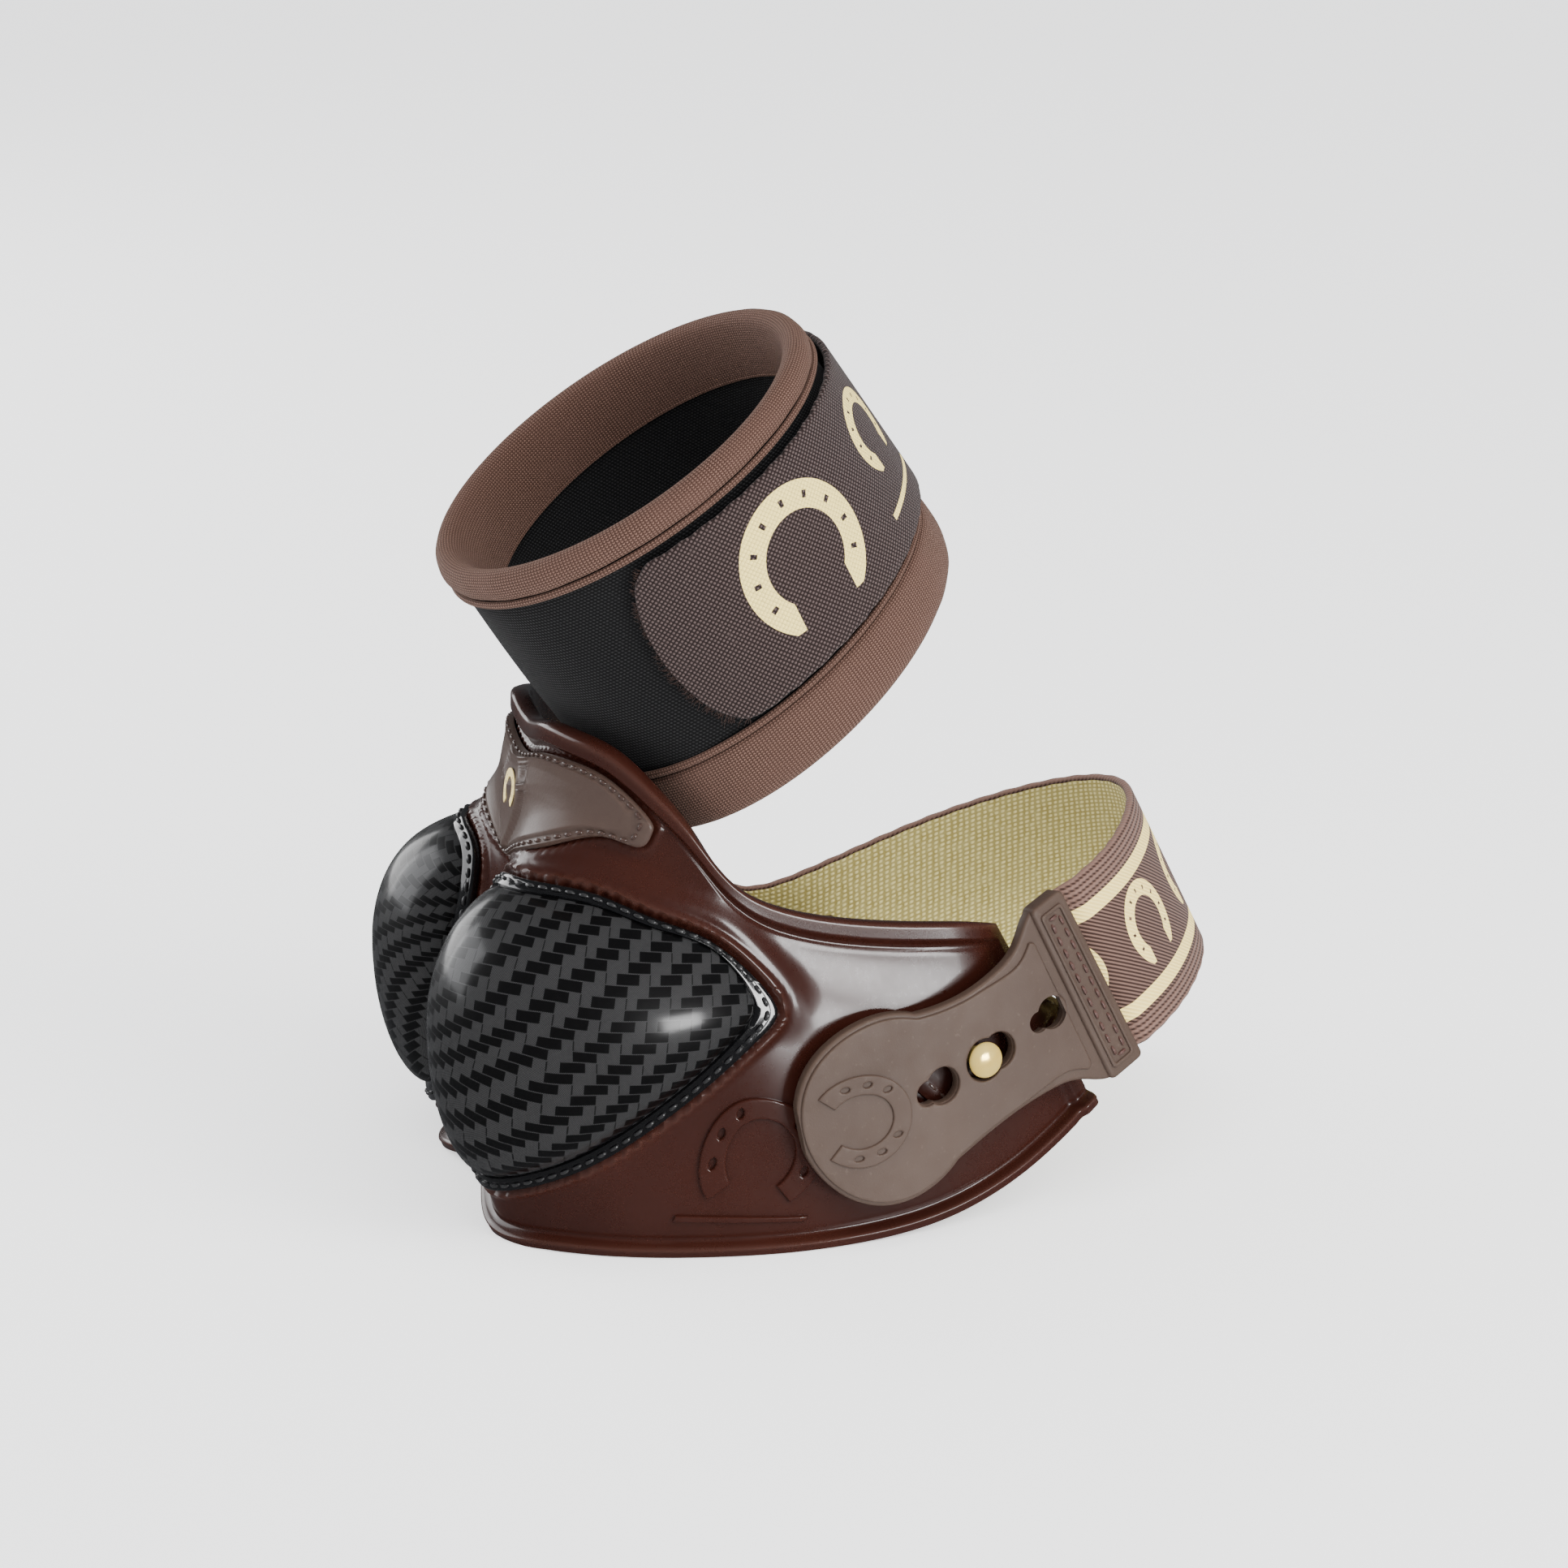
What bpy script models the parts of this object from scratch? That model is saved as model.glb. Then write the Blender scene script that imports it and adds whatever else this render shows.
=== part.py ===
"""Horse leg boot: a moulded fetlock shell with two gel domes, a neoprene cuff and a keyhole strap.

Millimetres in the design values, metres in Blender. The shell stands on its lower rim at Z = 0,
its front faces -Y, and the side with the brass stud is +X.
"""

import math

import bmesh
import bpy
import numpy as np
from mathutils import Matrix, Vector

MM = 0.001
ORIGIN = (0, 6.35, 0)    # the middle of the closed boot's footprint, in the design's coordinates

# ---- driving dimensions, millimetres ----
SHELL_THICK = 3.0
RIM_LIP = 2.2            # how far the lower rim flares out
COLLAR_ROLL = 1.6        # how far the collar's edge rolls out
LINING_THICK = 2.6
GAP = 0.35               # clearance between neighbouring pieces
SKIN_GAP = 0.8           # clearance under the wide moulded pieces
DOME_RISE = 10.5
DOME_SKIN = 1.4
DOME_FALL = 0.75         # share of its rise that a dome loses towards its top edge
FLANGE_THICK = 1.5
THREAD_R = 0.4
CUFF_RADIUS = 47.5       # outside of the neoprene
CUFF_THICK = 5.0
BINDING_THICK = 1.3
ELASTIC_WIDTH = 46.0
ELASTIC_THICK = 2.0
TAB_LENGTH = 83.5
TAB_THICK = 3.2
TAB_END_R = 22.5
TAB_NECK = 24.0          # half width where the elastic is sewn on
STUD_HEAD_R = 4.2
STUD_SEAT_R = 4.7        # the lobe around the stud clears its head
KEY_BIG_R = 4.1
KEY_SMALL_R = 2.7
KEY_STEP = 4.0           # from the wide hole to its seat
KEY_PITCH = 15.8
STUD_AT = 35.5           # along the tab, from its sewn end
STUD_POST_R = 2.2
STUD_CAP_R = 6.0
PATCH_THICK = 0.8

# ---- the shell: stations from the front centre round to the wing ends ----
# Each station holds its foot, its head and how far the six rows between bulge outwards.
ROW_SHARE = np.array((0, 0.12, 0.30, 0.47, 0.62, 0.73, 0.85, 1.0))
CENTRE = ((0, -73, 4.5), (0, -60, 115), (2.6, 4.4, 4.1, 2.4, 1.6, 0.4))
FRONT = (
    ((13, -75, 3), (13, -60, 118), (3.8, 8.0, 9.1, 7.0, 2.6, -0.4)),
    ((27, -76, 0), (24, -57, 118.5), (5.3, 11.7, 15.4, 14.8, 6.0, -1.6)),
    ((39, -67, 0), (33, -50, 116), (3.0, 9.0, 11.0, 11.0, 4.0, -1.5)),
    ((48, -50, 0), (40, -42, 108.5), (1.8, 4.3, 6.3, 6.0, 3.0, 0.0)),
    ((54, -28, 0), (44.5, -34, 98), (1.5, 2.7, 3.2, 2.6, 0.8, -0.4)),
)
STUD_WING = (
    ((56, -6, 0), (46, -21, 83), (1.2, 2.5, 2.7, 2.2, 1.3, 0.0)),
    ((54, 20, 2), (45, 6, 74), (1.0, 2.0, 2.0, 2.0, 1.0, 0.0)),
    ((48, 44, 9.6), (43, 29, 70.5), (0.5, 1.0, 1.5, 1.5, 1.0, 0.5)),
    ((40, 64, 20.6), (38.5, 39, 67.6), (0.0, 0.5, 0.8, 0.8, 0.5, 0.0)),
)
SEWN_WING = (
    ((56, -7, 0), (46, -14, 71), (1.2, 2.5, 2.7, 2.2, 1.3, 0.0)),
    ((54.5, 16, 1.5), (48.5, 7, 45), (1.0, 2.0, 2.0, 2.0, 1.0, 0.0)),
    ((50, 36, 8), (47, 27, 40), (0.5, 1.0, 1.0, 1.0, 0.5, 0.0)),
)
SEWN_SIDE_DROP = (1.5, 3.5, 4.5, 4.5, 5.0)   # the collar is lower on the sewn side

# ---- outlines on the shell: station across, row up ----
DOME_OUTLINE = (
    (0.95, 4.40), (2.10, 4.92), (4.20, 5.15), (5.45, 5.36), (5.92, 4.80),
    (5.60, 3.70), (4.10, 1.95), (2.60, 1.08), (1.50, 0.95), (0.85, 1.80), (0.72, 3.20),
)
DOME_MIDDLE = (3.0, 3.2)
DOME_FALL_ROWS = (2.9, 5.2)
SHIELD_OUTLINE = (
    (0.0, 4.75), (1.1, 5.02), (2.2, 5.52), (3.1, 5.88), (3.75, 6.08), (3.98, 6.40),
    (3.80, 6.60), (2.50, 6.66), (1.2, 6.60), (0.0, 6.54),
)
SHIELD_MIDDLE = (0.0, 6.0)
STUD_PATCH = ((6.75, 3.8), (8.70, 5.4), (9.35, 3.1), (7.5, 1.5))
STUD_AREA = ((7.0, 8.5), (2.5, 4.5))         # stations and rows that hold the stud's foot

# ---- the strap: centre line from the sewn wing round the back to the tab's tip ----
LOOP = (
    (-58.4, 10, 24.5), (-56.6, 26, 26.2), (-49, 58, 40.6), (-30, 86, 55.2), (-2, 96, 63.1),
    (26, 83, 60.5), (41.8, 64.5, 55.1), (51.0, 39, 44.0), (57.0, 8.9, 33.0), (58.9, -14.4, 30.7),
)
LOOP_SLOPE = (15, 24, 26, 26, 26, 26, 26, 22, 12, 10)      # degrees the width leans back
LOOP_LEAN = (0, 0, 0, 0, 0, 0, 0.03, 0.06, 0.09, 0.09)     # how far the lower edge stands out
ROOT_END = 22.0
REAR_END = 121.0
SEWN_END = 180.6

# ---- the cuff: its two edge planes ----
CUFF_TOP = (0, -38.8, 176.6)
CUFF_BOTTOM = (0, -1.1, 121.2)
CUFF_TOP_TILT = 33.0
CUFF_BOTTOM_TILT = 40.3
CUFF_SIDES = 36
FLAP_FROM = -27.0        # degrees round the cuff, 0 at +X, to the strap's free end
FLAP_TO = 105.0
ROOT_TO = 190.0
CUFF_HINGE = (0, -54, 116)

parts = None
cutters = None


def material(name, colour, rough, metal=0.0):
    mat = bpy.data.materials.new(name)
    mat.use_nodes = True
    shader = mat.node_tree.nodes["Principled BSDF"]
    shader.inputs["Base Color"].default_value = (*colour, 1)
    shader.inputs["Roughness"].default_value = rough
    shader.inputs["Metallic"].default_value = metal
    return mat


MATERIALS = {
    "moulded_brown": ((0.075, 0.028, 0.020), 0.28, 0),
    "rubber_brown": ((0.190, 0.120, 0.088), 0.62, 0),
    "gloss_black": ((0.012, 0.012, 0.013), 0.10, 0),
    "gel": ((0.35, 0.33, 0.30), 0.45, 0),
    "neoprene": ((0.008, 0.008, 0.009), 0.85, 0),
    "knit_brown": ((0.130, 0.062, 0.045), 0.90, 0),
    "strap_brown": ((0.055, 0.036, 0.032), 0.88, 0),
    "elastic": ((0.420, 0.380, 0.200), 0.85, 0),
    "thread": ((0.060, 0.035, 0.028), 0.60, 0),
    "brass": ((0.780, 0.600, 0.280), 0.22, 1),
}


def finish(obj, slot):
    """Gives an object its own material and a place in the boot's collection."""
    colour, rough, metal = MATERIALS[slot]
    obj.data.materials.clear()
    obj.data.materials.append(material(obj.name + "_" + slot, colour, rough, metal))
    if obj.name not in parts.objects:
        for home in list(obj.users_collection):
            home.objects.unlink(obj)
        parts.objects.link(obj)
    return obj


def metres(points):
    """Blender's coordinates of points given in the design's millimetres."""
    return (np.asarray(points, float) - ORIGIN) * MM


def mesh_object(name, points, faces, slot):
    mesh = bpy.data.meshes.new(name)
    mesh.from_pydata([tuple(p) for p in metres(points)], [], faces)
    shape = bmesh.new()
    shape.from_mesh(mesh)
    bmesh.ops.remove_doubles(shape, verts=shape.verts, dist=1e-6)
    bmesh.ops.recalc_face_normals(shape, faces=shape.faces)
    shape.to_mesh(mesh)
    shape.free()
    return finish(bpy.data.objects.new(name, mesh), slot)


# ---- smooth surfaces through the design points ----

def spline_weights(count, at):
    """Rows of weights that make a natural cubic through `count` evenly numbered points."""
    at = np.atleast_1d(np.asarray(at, float))
    spread = np.eye(count)
    pull = np.zeros((count, count))
    for i in range(1, count - 1):
        spread[i, i - 1:i + 2] = (1, 4, 1)
        pull[i, i - 1:i + 2] = (6, -12, 6)
    bend = np.linalg.solve(spread, pull)
    low = np.clip(np.floor(at).astype(int), 0, count - 2)
    after = (at - low)[:, None]
    before = 1 - after
    straight = before * np.eye(count)[low] + after * np.eye(count)[low + 1]
    return straight + (before**3 - before) / 6 * bend[low] + (after**3 - after) / 6 * bend[low + 1]


def shell_net():
    """Design points of the shell, station by row, from the sewn wing's end to the stud wing's."""
    dropped = [
        (foot, (head[0], head[1], head[2] - drop), bulge)
        for (foot, head, bulge), drop in zip(FRONT, SEWN_SIDE_DROP)
    ]
    sewn = [
        ((-foot[0], *foot[1:]), (-head[0], *head[1:]), bulge)
        for foot, head, bulge in reversed(dropped + list(SEWN_WING))
    ]
    stations = sewn + [CENTRE] + list(FRONT) + list(STUD_WING)
    foot = np.array([s[0] for s in stations], float)
    head = np.array([s[1] for s in stations], float)
    bulge = np.array([(0, *s[2], 0) for s in stations], float)
    along = np.gradient((foot + head)[:, :2] / 2, axis=0)
    outward = np.stack([along[:, 1], -along[:, 0], np.zeros(len(along))], axis=1)
    outward /= np.linalg.norm(outward, axis=1)[:, None]
    rise = ROW_SHARE[None, :, None]
    return foot[:, None] * (1 - rise) + head[:, None] * rise + bulge[:, :, None] * outward[:, None]


NET = shell_net()
SEWN_COUNT = len(FRONT) + len(SEWN_WING)
STUD_COUNT = len(FRONT) + len(STUD_WING)
TOP_ROW = len(ROW_SHARE) - 1


def shell_surface(across, up):
    weigh_across = spline_weights(NET.shape[0], np.asarray(across, float) + SEWN_COUNT)
    weigh_up = spline_weights(NET.shape[1], up)
    return np.einsum("pi,pj,ijk->pk", weigh_across, weigh_up, NET)


def unit(vectors):
    return vectors / np.linalg.norm(vectors, axis=-1, keepdims=True)


def shell_normal(across, up):
    across = np.asarray(across, float)
    up = np.asarray(up, float)
    step = 0.01
    side = shell_surface(across + step, up) - shell_surface(across - step, up)
    rise = shell_surface(across, up + step) - shell_surface(across, up - step)
    return unit(np.cross(side, rise))


def on_shell(across, up, out):
    """Points `out` millimetres outside the shell's outer face."""
    return shell_surface(across, up) + shell_normal(across, up) * np.reshape(out, (-1, 1))


def loop_surface(station, across):
    centres = np.array(LOOP, float)
    slope = np.radians(LOOP_SLOPE)
    width = np.stack([np.array(LOOP_LEAN), np.sin(slope), -np.cos(slope)], axis=1)
    weigh = spline_weights(len(LOOP), station)
    return weigh @ centres + unit(weigh @ width) * np.reshape(across, (-1, 1))


LOOP_STATIONS = np.linspace(0, len(LOOP) - 1, 721)
LOOP_LINE = loop_surface(LOOP_STATIONS, np.zeros(721))
LOOP_LENGTHS = np.concatenate([[0], np.cumsum(np.linalg.norm(np.diff(LOOP_LINE, axis=0), axis=1))])


def on_loop(distance, across, out=0.0):
    """Points on the strap: along it from its sewn end, across its width, and outside its middle."""
    distance = np.atleast_1d(np.asarray(distance, float))
    across = np.broadcast_to(np.asarray(across, float), distance.shape)
    here = np.interp(distance, LOOP_LENGTHS, LOOP_STATIONS)
    step = 0.02
    along = loop_surface(here + step, across) - loop_surface(here - step, across)
    width = loop_surface(here, across + 1) - loop_surface(here, across - 1)
    return loop_surface(here, across) + unit(np.cross(along, width)) * np.reshape(out, (-1, 1))


def cuff_frame(share):
    """Centre and two directions of the cuff's ring, from 0 at its lower edge to 1 at its upper."""
    tilt = math.radians(CUFF_BOTTOM_TILT + (CUFF_TOP_TILT - CUFF_BOTTOM_TILT) * share)
    centre = np.array(CUFF_BOTTOM) + (np.array(CUFF_TOP) - np.array(CUFF_BOTTOM)) * share
    return centre, np.array((1.0, 0, 0)), np.array((0, math.cos(tilt), math.sin(tilt)))


def on_cuff(degrees, share, out=0.0):
    """A point round the cuff, `out` millimetres outside the neoprene."""
    centre, right, back = cuff_frame(share)
    angle = math.radians(degrees)
    return centre + (CUFF_RADIUS + out) * (math.cos(angle) * right + math.sin(angle) * back)


# ---- solids ----

def loft(name, layers, slot, round_closed=False):
    """A closed solid between grids of points: the first is its outer face, the last its inner."""
    count, rows = layers[0].shape[:2]
    points = np.concatenate([layer.reshape(-1, 3) for layer in layers])

    def at(layer, i, j):
        return layer * count * rows + (i % count) * rows + j

    spans = count if round_closed else count - 1
    faces = []
    last = len(layers) - 1
    for i in range(spans):
        for j in range(rows - 1):
            faces.append((at(0, i, j), at(0, i + 1, j), at(0, i + 1, j + 1), at(0, i, j + 1)))
            faces.append((at(last, i, j), at(last, i, j + 1), at(last, i + 1, j + 1), at(last, i + 1, j)))
        for layer in range(last):
            for j in (0, rows - 1):
                faces.append((at(layer, i, j), at(layer, i + 1, j), at(layer + 1, i + 1, j), at(layer + 1, i, j)))
    if not round_closed:
        for layer in range(last):
            for j in range(rows - 1):
                for i in (0, count - 1):
                    faces.append((at(layer, i, j), at(layer, i, j + 1), at(layer + 1, i, j + 1), at(layer + 1, i, j)))
    used = sorted({k for face in faces for k in face})
    place = {k: n for n, k in enumerate(used)}
    return mesh_object(name, points[used], [[place[k] for k in face] for face in faces], slot)


def sheet(name, grid, thick, slot, round_closed=False):
    """An open surface through a grid of points, thickened evenly to both sides."""
    count, rows = grid.shape[:2]
    spans = count if round_closed else count - 1
    faces = []
    for i in range(spans):
        for j in range(rows - 1):
            after = (i + 1) % count
            faces.append((i * rows + j, after * rows + j, after * rows + j + 1, i * rows + j + 1))
    obj = mesh_object(name, grid.reshape(-1, 3), faces, slot)
    solidify = obj.modifiers.new("thickness", "SOLIDIFY")
    solidify.thickness = thick * MM
    solidify.offset = 0
    return obj


def smooth_outline(corners, count):
    """A closed smooth line of `count` points through an outline's points."""
    corners = np.array(corners, float)
    around = np.concatenate([corners[-3:], corners, corners[:4]])
    at = 3 + np.linspace(0, len(corners), count, endpoint=False)
    return spline_weights(len(around), at) @ around


def shrunk(outline, middle, share):
    middle = np.array(middle, float)
    return middle + (outline - middle) * share


def pad(name, outline, middle, shares, outer, inner, slot):
    """A solid on the shell: rings from its middle to its outline, with heights for each ring or point."""
    count = len(outline)
    points = []
    for heights in (outer, inner):
        points.append(on_shell([middle[0]], [middle[1]], np.ravel(heights[0])[:1]))
        for share, height in zip(shares, heights[1:]):
            ring = shrunk(outline, middle, share)
            points.append(on_shell(ring[:, 0], ring[:, 1], np.broadcast_to(height, count)))
    points = np.concatenate(points)
    half = 1 + count * len(shares)
    faces = []
    for side in (0, half):
        for i in range(count):
            after = (i + 1) % count
            faces.append((side, side + 1 + i, side + 1 + after))
            for ring in range(len(shares) - 1):
                near = side + 1 + ring * count
                far = near + count
                faces.append((near + i, far + i, far + after, near + after))
    rim = 1 + (len(shares) - 1) * count
    for i in range(count):
        after = (i + 1) % count
        faces.append((rim + i, rim + after, half + rim + after, half + rim + i))
    return mesh_object(name, points, faces, slot)


def seam(name, points, radius=THREAD_R, closed=True, slot="thread"):
    """A thin round cord through the points."""
    curve = bpy.data.curves.new(name, "CURVE")
    curve.dimensions = "3D"
    curve.bevel_depth = radius * MM
    curve.bevel_resolution = 1
    curve.use_fill_caps = not closed
    line = curve.splines.new("POLY")
    line.points.add(len(points) - 1)
    for spot, point in zip(line.points, metres(points)):
        spot.co = (*point, 1)
    line.use_cyclic_u = closed
    return finish(bpy.data.objects.new(name, curve), slot)


def turned(name, profile, slot, place, sides=20):
    """A turned piece from a profile that runs down its outer side."""
    mesh = bpy.data.meshes.new(name)
    points = [(r * MM, 0, z * MM) for r, z in profile]
    mesh.from_pydata(points, [(i, i + 1) for i in range(len(points) - 1)], [])
    obj = finish(bpy.data.objects.new(name, mesh), slot)
    screw = obj.modifiers.new("turn", "SCREW")
    screw.steps = sides
    screw.render_steps = sides
    screw.use_merge_vertices = True
    screw.merge_threshold = 0.00001
    obj.matrix_world = place
    return obj


# ---- the moulded shell and what is on it ----

def build_shell():
    across = np.linspace(-SEWN_COUNT, STUD_COUNT, 2 * (SEWN_COUNT + STUD_COUNT) + 1)
    up = np.concatenate([[0, 0.22, 0.45], np.arange(1, 6.6, 0.5), [6.76, 6.88, TOP_ROW]])
    grid_across, grid_up = [g.ravel() for g in np.meshgrid(across, up, indexing="ij")]
    shape = (len(across), len(up), 3)
    lip = RIM_LIP * np.clip(1 - grid_up / 0.45, 0, 1) ** 0.5
    roll = COLLAR_ROLL * np.clip((grid_up - 6.76) / 0.12, 0, 1)
    outer = on_shell(grid_across, grid_up, lip + roll)
    inner = on_shell(grid_across, grid_up, np.full(len(grid_up), -SHELL_THICK))
    level = outer[:, 2] * (grid_up == 0)
    inner[:, 2] = np.where(grid_up == 0, level, np.maximum(inner[:, 2], 0.5))
    for face in (outer, inner):
        near_floor = (grid_up == 0) & (face[:, 2] < 0.6)
        face[:, 2] = np.where(near_floor, 0, np.maximum(face[:, 2], 0))
    loft("outer_shell", [outer.reshape(shape), inner.reshape(shape)], "moulded_brown")

    keep_across = (across > -SEWN_COUNT + 0.4) & (across < STUD_COUNT - 0.4)
    keep_up = (up > 0.4) & (up < 5.6)
    line_across, line_up = [g.ravel() for g in np.meshgrid(across[keep_across], up[keep_up], indexing="ij")]
    shape = (keep_across.sum(), keep_up.sum(), 3)
    faces = [
        on_shell(line_across, line_up, np.full(len(line_up), -SHELL_THICK - depth)).reshape(shape)
        for depth in (GAP, GAP + LINING_THICK)
    ]
    loft("shell_lining", faces, "neoprene")


def build_dome(side, sign):
    outline = smooth_outline(DOME_OUTLINE, 32) * (sign, 1)
    middle = (DOME_MIDDLE[0] * sign, DOME_MIDDLE[1])
    shares = np.array((0.22, 0.44, 0.64, 0.78, 0.86, 0.90, 1.0))
    crown = np.array((0, *shares[:-1], shares[-2])) / 0.90
    rows = np.array([shrunk(outline, middle, share)[:, 1] for share in (0, *shares)])
    low, high = DOME_FALL_ROWS
    near_top = np.clip((rows - low) / (high - low), 0, 1)
    fall = 1 - DOME_FALL * near_top**2 * (3 - 2 * near_top)
    rise = DOME_RISE * (1 - crown[:, None] ** 2.6) ** 0.62 * fall
    top = SKIN_GAP + FLANGE_THICK
    inner = np.maximum(top + rise - DOME_SKIN - FLANGE_THICK, SKIN_GAP)
    pad("dome_cover_" + side, outline, middle, shares, top + rise, inner, "gloss_black")

    core_base = np.full(4, SKIN_GAP + GAP)
    pad("dome_gel_core_" + side, outline, middle, shares[:3], inner[:4] - GAP, core_base, "gel")

    line = shrunk(outline, middle, 0.955)
    height = np.full(len(line), top + GAP + THREAD_R)
    seam("dome_thread_" + side, on_shell(line[:, 0], line[:, 1], height))


def build_shield():
    half = np.array(SHIELD_OUTLINE)
    mirrored = half[1:-1][::-1] * (-1, 1)
    outline = smooth_outline(np.concatenate([half, mirrored]), 36)
    shares = (0.22, 0.42, 0.62, 0.80, 0.92, 1.0)
    outer = SKIN_GAP + np.array((3.4, 2.9, 2.2, 1.6, 1.4, 1.4, 1.3))
    inner = np.full(7, SKIN_GAP)
    pad("neck_shield", outline, SHIELD_MIDDLE, shares, outer, inner, "moulded_brown")
    line = shrunk(outline, SHIELD_MIDDLE, 0.93)
    height = np.full(len(line), SKIN_GAP + 1.6 + GAP + THREAD_R)
    seam("neck_shield_thread", on_shell(line[:, 0], line[:, 1], height))


def corner_line(corners, per_side):
    """Points along a four-cornered outline."""
    corners = np.array(corners, float)
    ends = np.roll(corners, -1, axis=0)
    shares = np.arange(per_side)[:, None] / per_side
    return np.concatenate([a + (b - a) * shares for a, b in zip(corners, ends)])


def build_stud_patch():
    outline = corner_line(STUD_PATCH, 8)
    middle = tuple(np.mean(STUD_PATCH, axis=0))
    top = SKIN_GAP / 2 + PATCH_THICK
    rings = (0.3, 0.55, 0.8, 1.0)
    pad("stud_patch", outline, middle, rings, np.full(5, top), np.full(5, SKIN_GAP / 2), "moulded_brown")
    line = shrunk(outline, middle, 0.86)
    height = np.full(len(line), top + GAP + THREAD_R / 2)
    seam("stud_patch_thread", on_shell(line[:, 0], line[:, 1], height), THREAD_R / 2)


# ---- the stud ----

def stud_place():
    """The stud's frame: on the tab's middle face, pointing out through its hole."""
    foot = on_loop([SEWN_END + STUD_AT], 0)[0]
    out = unit(on_loop([SEWN_END + STUD_AT], 0, 1)[0] - foot)
    turn = Vector(out).to_track_quat("Z", "Y").to_matrix().to_4x4()
    return Matrix.Translation(Vector(metres(foot))) @ turn


def stud_depth(place):
    """How far below the tab's middle the shell's outer face lies."""
    foot = np.array(place.translation) / MM + ORIGIN
    across, up = [g.ravel() for g in np.meshgrid(*(np.linspace(*span, 61) for span in STUD_AREA))]
    return float(np.min(np.linalg.norm(shell_surface(across, up) - foot, axis=1)))


def build_stud():
    place = stud_place()
    half = TAB_THICK / 2
    face = half + GAP
    head = [(0, face + 2.0), (1.6, face + 1.9), (3.1, face + 1.5), (4.0, face + 0.7)]
    head += [(STUD_HEAD_R, face + 0.2), (STUD_HEAD_R - 0.2, face), (0, face)]
    shell_face = -stud_depth(place)
    back = shell_face - SHELL_THICK - LINING_THICK - 3 * GAP
    post = [(0, half), (STUD_POST_R, half), (STUD_POST_R, back + GAP), (0, back + GAP)]
    cap = [(0, back), (STUD_CAP_R - 0.6, back), (STUD_CAP_R, back - 0.5)]
    cap += [(STUD_CAP_R - 0.8, back - 1.0), (0, back - 1.2)]
    turned("stud_head", head, "brass", place)
    turned("stud_post", post, "brass", place)
    turned("stud_back_cap", cap, "brass", place)
    bore = [(0, half), (STUD_POST_R + GAP, half), (STUD_POST_R + GAP, back - 3), (0, back - 3)]
    cutter = turned("stud_bore", bore, "brass", place)
    parts.objects.unlink(cutter)
    cutters.objects.link(cutter)
    cutter.hide_render = True
    cutter.display_type = "WIRE"
    for name in ("outer_shell", "shell_lining", "stud_patch"):
        cut = parts.objects[name].modifiers.new("stud_bore", "BOOLEAN")
        cut.operation = "DIFFERENCE"
        cut.object = cutter


# ---- the strap ----

def strap_sheet(name, start, end, out, slot, half=ELASTIC_WIDTH / 2, thick=ELASTIC_THICK):
    steps = max(2, round((end - start) / 8)) + 1
    along = np.linspace(start, end, steps)
    across = np.linspace(-half, half, 3)
    distance, width = [g.ravel() for g in np.meshgrid(along, across, indexing="ij")]
    sheet(name, on_loop(distance, width, out).reshape(steps, 3, 3), thick, slot)


def build_elastic():
    hinge_gap = GAP / 2
    strap_sheet("elastic_root", 0, ROOT_END - hinge_gap, 0, "elastic")
    over = ELASTIC_THICK / 2 + GAP + PATCH_THICK / 2
    strap_sheet("anchor_patch", 1, 17, over, "moulded_brown", 17, PATCH_THICK)
    box = corner_line(((3, -15), (15, -15), (15, 15), (3, 15)), 4)
    seam("anchor_patch_thread", on_loop(box[:, 0], box[:, 1], over + PATCH_THICK), THREAD_R / 2)
    strap_sheet("elastic_rear", ROOT_END + hinge_gap, REAR_END - hinge_gap, 0, "elastic")
    strap_sheet("elastic_front", REAR_END + hinge_gap, SEWN_END - 1.0, 0, "elastic")
    under = -(TAB_THICK + ELASTIC_THICK / 2) / 2 - GAP
    strap_sheet("elastic_tail", SEWN_END + 0.5, SEWN_END + 9, under, "elastic", 20, ELASTIC_THICK / 2)


def tab_outline():
    """The tab laid flat: along it from its sewn end, and across it."""
    centre = TAB_LENGTH - TAB_END_R
    side = [(0, 22.6), (1.4, TAB_NECK), (7.5, TAB_NECK), (11.5, 22.4)]
    side += [(17, 18.4), (24, 16.5), (33, 16.1), (42, 17.2)]
    turn = np.radians(np.linspace(124, -124, 23))
    end = [(centre + TAB_END_R * math.cos(a), TAB_END_R * math.sin(a)) for a in turn]
    return side + end + [(x, -y) for x, y in reversed(side)]


def keyhole(seat, wide, seat_radius):
    """A wide hole whose neck opens into the seat nearer the tab's tip."""
    reach = seat - wide
    meet = (reach**2 + KEY_BIG_R**2 - seat_radius**2) / (2 * reach)
    if abs(meet) >= KEY_BIG_R:
        raise ValueError("the keyhole's two lobes don't meet")
    open_big = math.acos(meet / KEY_BIG_R)
    open_seat = math.acos((reach - meet) / seat_radius)
    big = np.linspace(open_big, 2 * math.pi - open_big, 13)
    small = np.linspace(math.pi + open_seat, 3 * math.pi - open_seat, 11)[1:-1]
    return [(wide + KEY_BIG_R * math.cos(a), KEY_BIG_R * math.sin(a)) for a in big] + [
        (seat + seat_radius * math.cos(a), seat_radius * math.sin(a)) for a in small
    ]


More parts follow.
